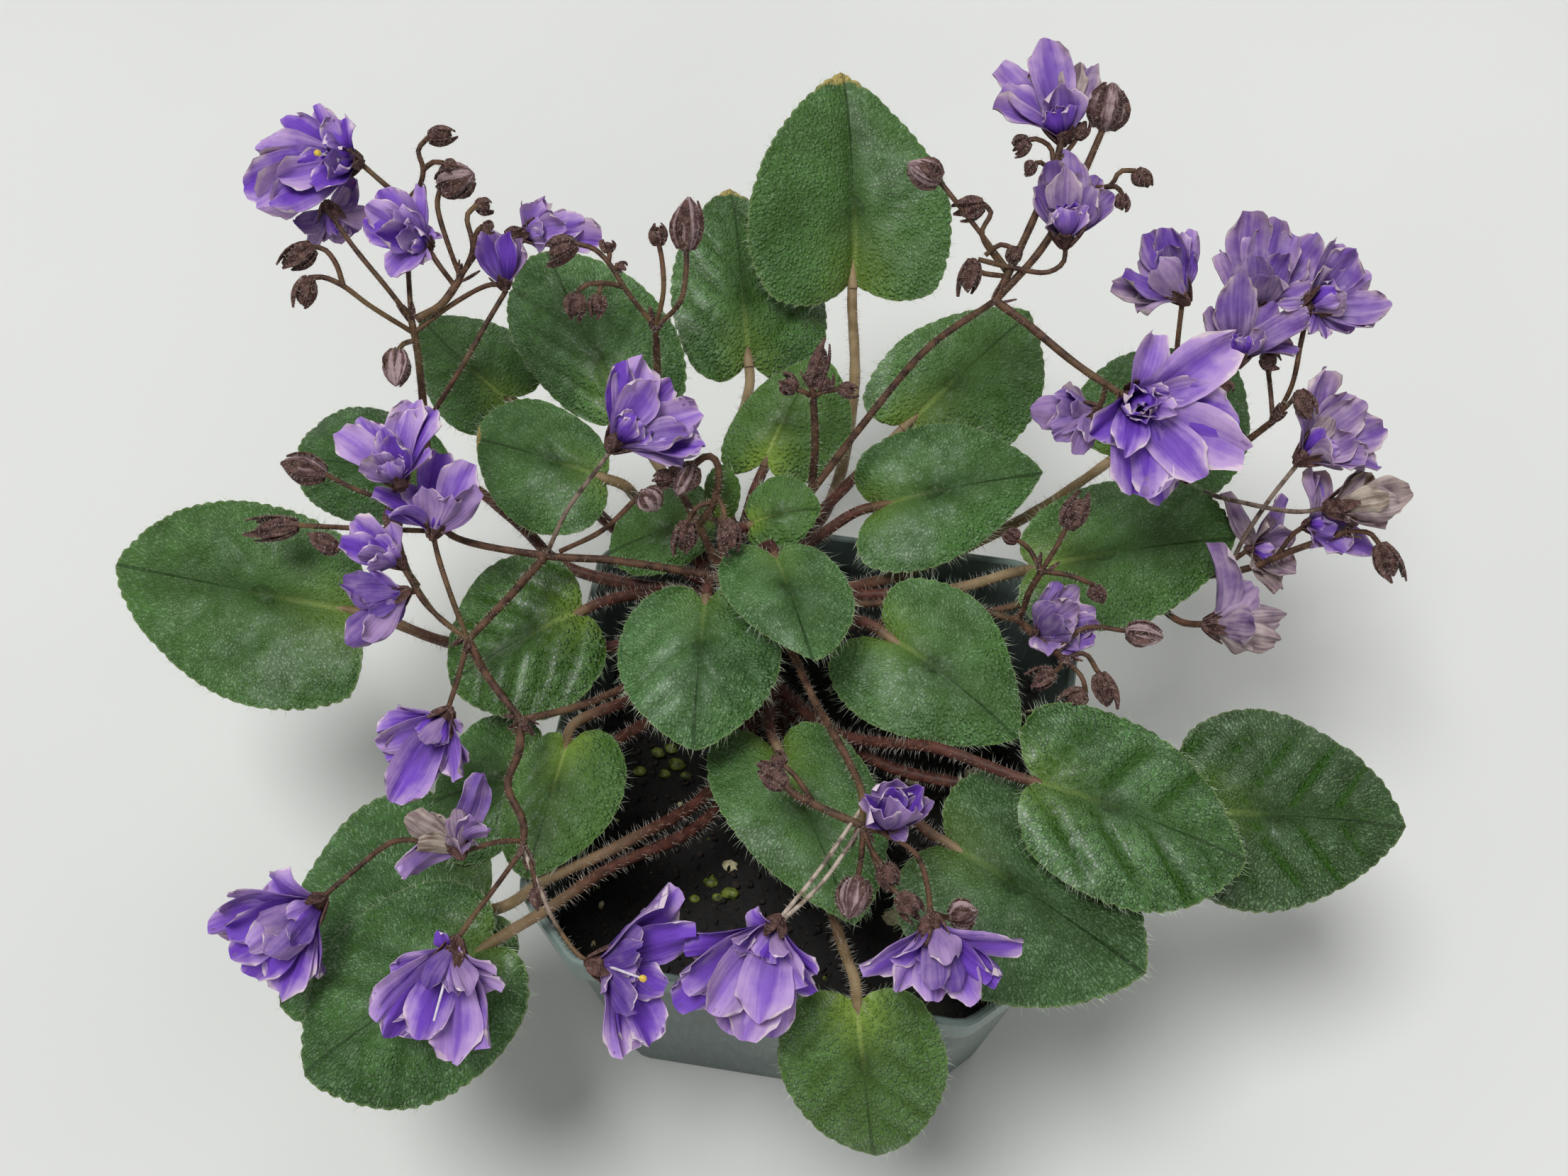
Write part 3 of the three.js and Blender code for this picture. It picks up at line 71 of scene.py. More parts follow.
def put_in(name, data):
    """A new object of that data in the scene"""
    made = bpy.data.objects.new(name, data)
    bpy.context.scene.collection.objects.link(made)
    return made


camera = put_in("camera", bpy.data.cameras.new("camera"))
camera.data.sensor_width = SENSOR_WIDTH
camera.data.lens = SENSOR_WIDTH * FOCAL_PIXELS / FRAME_WIDTH
camera.data.clip_start = 0.01
camera.matrix_world = Matrix([
    [view_right[axis], view_up[axis], view_back[axis], eye[axis]] for axis in range(3)
] + [[0, 0, 0, 1]])
bpy.context.scene.camera = camera


def seen(place):
    """The point at a pixel of the picture and a height in millimetres"""
    across, down, height = place
    ray = -FOCAL_PIXELS * view_back
    ray = ray + (across - FRAME_MIDDLE[0]) * view_right + (FRAME_MIDDLE[1] - down) * view_up
    return eye + ray * (height * MM - eye[2]) / ray[2]


def unit(vector):
    """The vector, made one long"""
    return vector / np.linalg.norm(vector)


# Pot: thin moulded plastic, tapered, with a lip band turned out round the rim and four drain
# holes. It is dark grey-teal, slightly sheer, paler along the lip and scuffed on its sides.
POT_WIDTH = 101.6 * MM
POT_HEIGHT = 80 * MM
POT_BASE_WIDTH = 87.4 * MM
POT_CORNER_CUT = 13 * MM
POT_INNER_CUT = 12.4 * MM
POT_WALL = 1.3 * MM
POT_FLOOR = 2 * MM
LIP_HEIGHT = 9 * MM
LIP_PROUD = 1.1 * MM
LIP_DRAFT = 0.6 * MM
LIP_THICKNESS = 1.5 * MM
EDGE_ROUND = 0.35 * MM
CORNER_ROUND = 2.2 * MM
DRAIN_RADIUS = 4 * MM
DRAIN_PLACE = 24 * MM
DRAIN_SIDES = 24
LIP_BOTTOM = POT_HEIGHT - LIP_HEIGHT
BODY_TOP_WIDTH = POT_WIDTH - 2 * LIP_PROUD - LIP_DRAFT


def pick(sockets, key):
    """The socket in use with that name, or at that place in the list"""
    used = [socket for socket in sockets if socket.enabled]
    return used[key] if isinstance(key, int) else next(s for s in used if s.name == key)


def add_node(tree, kind, settings, values, output=0):
    """Adds a node: its settings first, then a value or a link for each socket"""
    made = tree.nodes.new(kind)
    for name, value in settings.items():
        setattr(made, name, value)
    for key, value in values.items():
        socket = pick(made.inputs, key)
        if isinstance(value, bpy.types.NodeSocket):
            tree.links.new(value, socket)
        else:
            socket.default_value = value
    return pick(made.outputs, output) if made.outputs else None


class Paint:
    """A value in a material's nodes. Arithmetic on it adds Math nodes."""

    def __init__(self, tree, socket=None):
        self.tree = tree
        self.socket = socket

    def node(self, kind, settings, values, output=0):
        """Adds a shader node, whose values can be paints"""
        plain = {
            key: value.socket if isinstance(value, Paint) else value
            for key, value in values.items()
        }
        return Paint(self.tree, add_node(self.tree, "ShaderNode" + kind, settings, plain, output))

    def math(self, operation, *values):
        return self.node("Math", {"operation": operation}, dict(enumerate(values)))

    def __add__(self, other):
        return self.math("ADD", self, other)

    def __sub__(self, other):
        return self.math("SUBTRACT", self, other)

    def __rsub__(self, other):
        return self.math("SUBTRACT", other, self)

    def __mul__(self, other):
        return self.math("MULTIPLY", self, other)

    def __pow__(self, other):
        return self.math("POWER", self, other)

    def __abs__(self):
        return self.math("ABSOLUTE", self)

    __radd__ = __add__
    __rmul__ = __mul__

    def rise(self, low, high):
        """0 below low, 1 above high, and smooth between them"""
        settings = {"interpolation_type": "SMOOTHSTEP", "clamp": True}
        return self.node("MapRange", settings, {"Value": self, "From Min": low, "From Max": high})

    def blend(self, first, second):
        """The first colour where this value is 0, and the second where it is 1"""
        values = {"Factor": self, "A": first, "B": second}
        return self.node("Mix", {"data_type": "RGBA"}, values)

    def shades(self, dark, light, low=0.3, high=0.7):
        """A mottled colour: dark where this value is low, and light where it is high"""
        return self.rise(low, high).blend(colour(*dark), colour(*light))

    def part(self, axis):
        return self.node("SeparateXYZ", {}, {"Vector": self}, axis)

    def attribute(self, name, output="Fac"):
        return self.node("Attribute", {"attribute_name": name}, {}, output)

    def place(self):
        return self.node("TexCoord", {}, {}, "Object")

    def mottle(self, scale, detail=3, vector=None):
        """Soft cloudy noise, about 0.5 on average, with that many spots in a metre"""
        values = {"Vector": vector or self.place(), "Scale": scale, "Detail": detail}
        return self.node("TexNoise", {}, values, "Fac")

    def relief(self, height, depth):
        """A normal that a height field with that depth in metres gives"""
        values = {"Height": height, "Distance": depth, "Strength": 1.0}
        return self.node("Bump", {}, values, "Normal")

    def surface(self, values):
        """Closes the material with one shader"""
        shader = self.node("BsdfPrincipled", {}, values)
        self.node("OutputMaterial", {}, {"Surface": shader})


def colour(red, green, blue):
    """A colour given as it looks on a screen, 0 to 255"""
    shares = [part / 255 for part in (red, green, blue)]
    linear = [s / 12.92 if s <= 0.04045 else ((s + 0.055) / 1.055) ** 2.4 for s in shares]
    return (*linear, 1.0)


def layered(paint, *layers):
    """A paint with colours laid over it in turn, each given as its share and its colour"""
    for share, tint in layers:
        paint = share.blend(paint, colour(*tint))
    return paint


def start_material(name):
    material = bpy.data.materials.new(name)
    material.use_nodes = True
    material.node_tree.nodes.clear()
    return material, Paint(material.node_tree)


def write_values(mesh, values):
    """Gives the mesh's points a number or a vector under each name"""
    for key, numbers in values.items():
        numbers = np.asarray(numbers, np.float32)
        if numbers.ndim == 0:
            numbers = np.full(len(mesh.vertices), numbers)
        vector = numbers.ndim == 2
        attribute = mesh.attributes.new(key, "FLOAT_VECTOR" if vector else "FLOAT", "POINT")
        attribute.data.foreach_set("vector" if vector else "value", numbers.ravel())


SHARP_ANGLE = math.radians(50)


def make_piece(name, points, faces, materials, values=None, slots=None):
    """A smooth mesh object with values for its points and a material slot for each face"""
    mesh = bpy.data.meshes.new(name)
    mesh.from_pydata([tuple(point) for point in points], [], faces)
    for material in materials:
        mesh.materials.append(material)
    if slots is not None:
        mesh.polygons.foreach_set("material_index", slots)
    write_values(mesh, values or {})
    mesh.shade_smooth()
    mesh.set_sharp_from_angle(angle=SHARP_ANGLE)
    return put_in(name, mesh)


def keep_piece(piece, slot, *nodes):
    """The piece rides on the plant's one body and stands for these solids"""
    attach(piece, "root")
    if nodes:
        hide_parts(*nodes)


def loft_faces(levels, sides, closed_start=True, closed_end=True):
    """The faces that join a stack of rings, wound so that they point out"""
    faces = []
    for level in range(levels - 1):
        for side in range(sides):
            low = level * sides + side
            beside = level * sides + (side + 1) % sides
            faces.append((low, beside, beside + sides, low + sides))
    if closed_start:
        faces.append(tuple(range(sides - 1, -1, -1)))
    if closed_end:
        faces.append(tuple(range((levels - 1) * sides, levels * sides)))
    return faces


def circle(sides):
    """The corners of an even ring of radius 1"""
    turns = [math.tau * side / sides for side in range(sides)]
    return [(math.cos(turn), math.sin(turn)) for turn in turns]


def square_ring(width, cut, height):
    """A square with cut corners, each of its eight corners eased by an arc of three points"""
    half, inner = width / 2, width / 2 - cut
    corners = [
        (half, -inner), (half, inner), (inner, half), (-inner, half),
        (-half, inner), (-half, -inner), (-inner, -half), (inner, -half),
    ]
    ring = []
    for index, corner in enumerate(corners):
        here = np.array(corner)
        before = unit(np.array(corners[index - 1]) - here) * CORNER_ROUND
        after = unit(np.array(corners[(index + 1) % 8]) - here) * CORNER_ROUND
        ring += [(*(here + before), height), (*(here + 0.25 * (before + after)), height)]
        ring.append((*(here + after), height))
    return ring


def inside_width(height):
    """How wide the pot is inside at a height"""
    outside = POT_BASE_WIDTH + (BODY_TOP_WIDTH - POT_BASE_WIDTH) * height / LIP_BOTTOM
    return outside - 2 * POT_WALL


pot_rings = [
    (POT_BASE_WIDTH - 4 * EDGE_ROUND, POT_CORNER_CUT, 0),
    (POT_BASE_WIDTH, POT_CORNER_CUT, 2 * EDGE_ROUND),
    (BODY_TOP_WIDTH, POT_CORNER_CUT, LIP_BOTTOM),
    (POT_WIDTH - LIP_DRAFT - 2 * EDGE_ROUND, POT_CORNER_CUT, LIP_BOTTOM),
    (POT_WIDTH - LIP_DRAFT, POT_CORNER_CUT, LIP_BOTTOM + EDGE_ROUND),
    (POT_WIDTH, POT_CORNER_CUT, POT_HEIGHT - EDGE_ROUND),
    (POT_WIDTH - 2 * EDGE_ROUND, POT_CORNER_CUT, POT_HEIGHT),
    (POT_WIDTH - 2 * LIP_THICKNESS + 2 * EDGE_ROUND, POT_INNER_CUT, POT_HEIGHT),
    (POT_WIDTH - 2 * LIP_THICKNESS, POT_INNER_CUT, POT_HEIGHT - EDGE_ROUND),
    (inside_width(LIP_BOTTOM), POT_INNER_CUT, LIP_BOTTOM - 1 * MM),
    (inside_width(POT_FLOOR), POT_INNER_CUT, POT_FLOOR),
]
pot_points = [point for ring in pot_rings for point in square_ring(*ring)]

pot_plastic, tree = start_material("pot_plastic")
pot_place = tree.place()
lip_share = pot_place.part("Z").rise(LIP_BOTTOM - 1 * MM, LIP_BOTTOM + 2 * MM)
pot_cloud = tree.mottle(45)
pot_scuffs = tree.mottle(900, 4, tree.node(
    "Mapping", {}, {"Vector": pot_place, "Scale": (1.0, 1.0, 0.12)}, "Vector"))
tree.surface({
    "Base Color": layered(
        pot_cloud.shades((70, 82, 78), (90, 103, 98)),
        (lip_share * 0.75, (112, 130, 124)),
        (pot_scuffs.rise(0.6, 0.75) * 0.35, (140, 152, 147)),
    ),
    "Roughness": 0.32 + pot_scuffs * 0.25,
    "IOR": 1.48,
    "Normal": tree.relief(pot_scuffs, 0.00008),
})

pot_sides = len(pot_points) // len(pot_rings)
pot = make_piece("pot_shell", pot_points, loft_faces(len(pot_rings), pot_sides), [pot_plastic])
pot.data.shade_flat()
for drain_x, drain_y in [(1, 1), (-1, 1), (-1, -1), (1, -1)]:
    cutter_points = [
        (drain_x * DRAIN_PLACE + DRAIN_RADIUS * x, drain_y * DRAIN_PLACE + DRAIN_RADIUS * y, height)
        for height in (-POT_FLOOR, 2 * POT_FLOOR) for x, y in circle(DRAIN_SIDES)
    ]
    cutter = make_piece("drain", cutter_points, loft_faces(2, DRAIN_SIDES), [pot_plastic])
    cut = pot.modifiers.new("drain", "BOOLEAN")
    cut.object, cut.operation, cut.solver = cutter, "DIFFERENCE", "EXACT"


def made_plain(piece, *helpers):
    """The piece with its modifiers worked into its mesh, and what they used removed"""
    ready = piece.evaluated_get(bpy.context.evaluated_depsgraph_get())
    mesh = bpy.data.meshes.new_from_object(ready)
    piece.modifiers.clear()
    piece.data = mesh
    for helper in helpers:
        bpy.data.objects.remove(helper)
    return piece


made_plain(pot, *[cut.object for cut in pot.modifiers])
keep_piece(pot, "pot", "pot")

# Soil: damp black peat, 28 mm below the rim, heaped a little round the rootstock. Crumbs of
# peat, grains of cream perlite and green algae lie on it.
SOIL_HEIGHT = 52
SOIL_TOP = SOIL_HEIGHT * MM
SOIL_GAP = 0.35 * MM
SOIL_CELLS = 84
SOIL_CROWN_RISE = 1.4 * MM
SOIL_SINK = 0.4 * MM
# the height of the soil's swells, how many there are to a metre, and a seed
SOIL_SWELLS = ((1.3 * MM, 60, 3), (0.8 * MM, 260, 5))
# where each lump lies in the picture, and its radius in millimetres
LUMPS = {
    "perlite": [
        ((1030, 1222), 2.0), ((1380, 1096), 3.0), ((1292, 1098), 2.6), ((1262, 1296), 2.8),
    ],
    "algae": [
        ((903, 1088), 1.5), ((955, 1078), 1.9), ((928, 1062), 1.6), ((938, 1092), 1.3),
        ((947, 1056), 1.5), ((968, 1094), 1.2), ((1003, 1244), 1.6), ((1030, 1260), 1.8),
        ((1012, 1266), 1.2), ((980, 1268), 1.2),
    ],
}
LUMP_SIDES = 12
LUMP_STEPS = 8
LUMP_WIDTH = 0.75
LUMP_RISE = 0.55
LUMP_DENTS = 0.22
LUMP_TIP = 0.05


def rough(point, spots, seed):
    """Cloudy noise between about -1 and 1, with that many spots in a metre"""
    return noise.fractal(Vector(point) * spots + Vector((seed, 2 * seed, 0)), 1.0, 2.0, 4)


def grid_faces(rows, columns):
    """The faces between the points of a grid, row by row"""
    return [
        (low, low + 1, low + columns + 1, low + columns)
        for row in range(rows - 1) for low in range(row * columns, (row + 1) * columns - 1)
    ]


def grid_edge(rows, columns):
    """The points round the edge of a grid"""
    return [
        *range(columns),
        *range(2 * columns - 1, rows * columns, columns),
        *range(rows * columns - 2, (rows - 1) * columns - 1, -1),
        *range((rows - 2) * columns, 0, -columns),
    ]


soil_width = inside_width(SOIL_TOP) - 2 * SOIL_GAP
soil_points = []
for row in range(SOIL_CELLS + 1):
    for column in range(SOIL_CELLS + 1):
        x = soil_width * (column / SOIL_CELLS - 0.5)
        y = soil_width * (row / SOIL_CELLS - 0.5)
        over = abs(x) + abs(y) - (soil_width - POT_INNER_CUT)
        if over > 0:
            shrink = 1 - over / (abs(x) + abs(y))
            x, y = x * shrink, y * shrink
        centre = max(0.0, 1 - math.hypot(x, y) / (0.5 * soil_width))
        lift = SOIL_CROWN_RISE * centre
        for rise, spots, seed in SOIL_SWELLS:
            lift += rise * rough((x, y, 0), spots, seed)
        soil_points.append((x, y, SOIL_TOP + lift - SOIL_SINK))
top_faces = grid_faces(SOIL_CELLS + 1, SOIL_CELLS + 1)
soil_edge = grid_edge(SOIL_CELLS + 1, SOIL_CELLS + 1)
base_share = (inside_width(POT_FLOOR) - 2 * SOIL_GAP) / soil_width
base_start = len(soil_points)
for index in soil_edge:
    x, y, _ = soil_points[index]
    soil_points.append((x * base_share, y * base_share, POT_FLOOR + SOIL_GAP))
edge_count = len(soil_edge)
soil_faces = list(top_faces)
for index in range(edge_count):
    after = (index + 1) % edge_count
    soil_faces.append(
        (soil_edge[after], soil_edge[index], base_start + index, base_start + after))
soil_faces.append(tuple(range(base_start + edge_count - 1, base_start - 1, -1)))

peat, tree = start_material("peat")
peat_grain = tree.mottle(700, 6)
peat_dark = peat_grain.shades((6, 5, 5), (22, 18, 15), 0.35, 0.7)
tree.surface({
    "Base Color": layered(peat_dark, (tree.mottle(90).rise(0.58, 0.72) * 0.25, (58, 62, 30))),
    "Roughness": 0.7 + peat_grain * 0.3,
    "Normal": tree.relief(peat_grain, 0.0008),
})
soil = make_piece("peat_filling", soil_points, soil_faces, [peat])
keep_piece(soil, "soil", "soil")


class Growth:
    """A geometry tree that grows one piece, in one finish, on a source mesh"""

    def __init__(self, name, sockets):
        self.tree = bpy.data.node_groups.new(name, "GeometryNodeTree")
        panel = self.tree.interface
        for label, kind in [("Geometry", "Geometry"), *sockets, ("Finish", "Material")]:
            panel.new_socket(label, in_out="INPUT", socket_type="NodeSocket" + kind)
        panel.new_socket("Geometry", in_out="OUTPUT", socket_type="NodeSocketGeometry")
        self.given = self.tree.nodes.new("NodeGroupInput").outputs

    def node(self, kind, values, output=0, **settings):
        """Adds a geometry node, or one of another family with its full name"""
        full = kind if "Node" in kind else "GeometryNode" + kind
        return add_node(self.tree, full, settings, values, output)

    def random(self, low, high):
        """A random vector or number for each grown thing, between those two"""
        kind = "FLOAT_VECTOR" if isinstance(low, tuple) else "FLOAT"
        values = {"Min": low, "Max": high, "Seed": self.given["Seed"]}
        return self.node("FunctionNodeRandomValue", values, data_type=kind)

    def scattered(self, per_metre):
        """Points strewn over the source's faces"""
        return self.node("DistributePointsOnFaces", {
            "Mesh": self.given["Geometry"], "Density": per_metre, "Seed": self.given["Seed"],
        })

    def attribute(self, name, kind="FLOAT"):
        return self.node("InputNamedAttribute", {"Name": name}, data_type=kind)

    def close(self, grown):
        """Ends the tree with real faces in the finish"""
        real = self.node("RealizeInstances", {"Geometry": grown})
        painted = self.node("SetMaterial", {"Geometry": real, "Material": self.given["Finish"]})
        self.tree.links.new(painted, self.tree.nodes.new("NodeGroupOutput").inputs["Geometry"])

    def piece(self, name, source, values):
        """A plain mesh object of what the tree grows on a source mesh"""
        piece = put_in(name, source)
        growth = piece.modifiers.new(name, "NODES")
        growth.node_group = self.tree
        for item in self.tree.interface.items_tree:
            if item.in_out == "INPUT" and item.name in values:
                growth[item.identifier] = values[item.name]
        return made_plain(piece)


# Each grain is a small rough ball, scattered over the soil and turned at random
grain_growth = Growth("soil_grains", [
    ("Per Square Metre", "Float"), ("Grain Size", "Float"), ("Seed", "Int"),
])
given = grain_growth.given
ball = grain_growth.node("MeshIcoSphere", {"Radius": given["Grain Size"], "Subdivisions": 2})
dent = grain_growth.node("ShaderNodeTexNoise", {"Scale": 900.0}, "Color")
dented = grain_growth.node(
    "ShaderNodeVectorMath", {"Vector": dent, "Scale": given["Grain Size"]}, operation="SCALE")
grain_growth.close(grain_growth.node("InstanceOnPoints", {
    "Points": grain_growth.scattered(given["Per Square Metre"]),
    "Instance": grain_growth.node("SetPosition", {"Geometry": ball, "Offset": dented}),
    "Rotation": grain_growth.random((0.0, 0.0, 0.0), (math.tau, math.tau, math.tau)),
    "Scale": grain_growth.random((0.4, 0.4, 0.3), (1.3, 1.1, 0.8)),
}))


def plain_paint(name, dark, light, spots, roughness, depth):
    """A mottled finish between two colours, with a fine relief"""
    material, tree = start_material(name)
    cloud = tree.mottle(spots, 4)
    tree.surface({
        "Base Color": cloud.shades(dark, light),
        "Roughness": roughness,
        "Normal": tree.relief(cloud, depth),
    })
    return material


crumb = plain_paint("peat_crumb", (9, 8, 7), (46, 36, 28), 500, 0.85, 0.0004)
perlite = plain_paint("perlite", (158, 142, 100), (232, 224, 180), 600, 0.8, 0.0004)
algae = plain_paint("algae", (58, 68, 22), (122, 136, 52), 700, 0.5, 0.0003)
soil_top = bpy.data.meshes.new("soil_top")
soil_top.from_pydata(soil_points[:base_start], [], top_faces)
for grain_name, grain_finish, per_metre, grain_size, seed in [
    ("peat_crumbs", crumb, 215000, 0.8 * MM, 4),
    ("perlite_grains", perlite, 2600, 0.9 * MM, 11),
    ("algae_specks", algae, 9000, 0.55 * MM, 23),
]:
    grains = grain_growth.piece(grain_name, soil_top, {
        "Per Square Metre": per_metre, "Grain Size": grain_size, "Seed": seed,
        "Finish": grain_finish,
    })
    keep_piece(grains, "soil")

lump_turns = [math.pi * step / LUMP_STEPS for step in range(1, LUMP_STEPS)]
lump_rings = [(math.sin(turn), -math.cos(turn)) for turn in lump_turns]
lump_rings = [(LUMP_TIP, -1.0), *lump_rings, (LUMP_TIP, 1.0)]
for kind, finish in [("perlite", perlite), ("algae", algae)]:
    points, faces = [], []
    for (across, down), radius in LUMPS[kind]:
        middle = seen((across, down, SOIL_HEIGHT))
        start = len(points)
        for ring_radius, rise in lump_rings:
            for x, y in circle(LUMP_SIDES):
                spot = np.array([ring_radius * x, LUMP_WIDTH * ring_radius * y, LUMP_RISE * rise])
                spot *= radius * MM * (1 + LUMP_DENTS * rough(middle + spot * 0.01, 300, 9))
                points.append(middle + spot)
        lofted = loft_faces(len(lump_rings), LUMP_SIDES)
        faces += [tuple(start + index for index in face) for face in lofted]
    lumps = make_piece(kind + "_lumps", points, faces, [finish])
    keep_piece(lumps, "soil")

# Crown: the woody rootstock that leans out of the soil, and the leaf stalks that grow from it
# all round. The stalks are maroon at the crown and tan or olive near the blades, with long
# white hairs, and each goes on under its blade as the rib.
ROOTSTOCK = [(1092, 1024, 44), (1087, 990, 60), (1062, 920, 77), (1036, 852, 91), (1024, 822, 98)]
ROOTSTOCK_RADIUS = 4.4 * MM
CROWN_RADIUS = 3.4 * MM
PETIOLE_RADIUS = 1.4 * MM
PETIOLE_END_RADIUS = 1.05 * MM
PETIOLE_DROP = 1.5 * MM
PETIOLE_DIP = 0.8 * MM
PETIOLE_OVERLAP = 1.2 * MM
RIB_START_BACK = 2 * MM
RIB_SHARES = (0.12, 0.3, 0.5, 0.75)
RIB_END_RADIUS = 0.3 * MM
RIB_SINK = 0.7 * MM
RIB_CLEAR = 0.3 * MM
FULL_BLADE = 38 * MM
STEM_STEP = 1.6 * MM
FINE_STEPS = 14
STEM_SIDES = 10
STEM_UNEVEN = 0.09
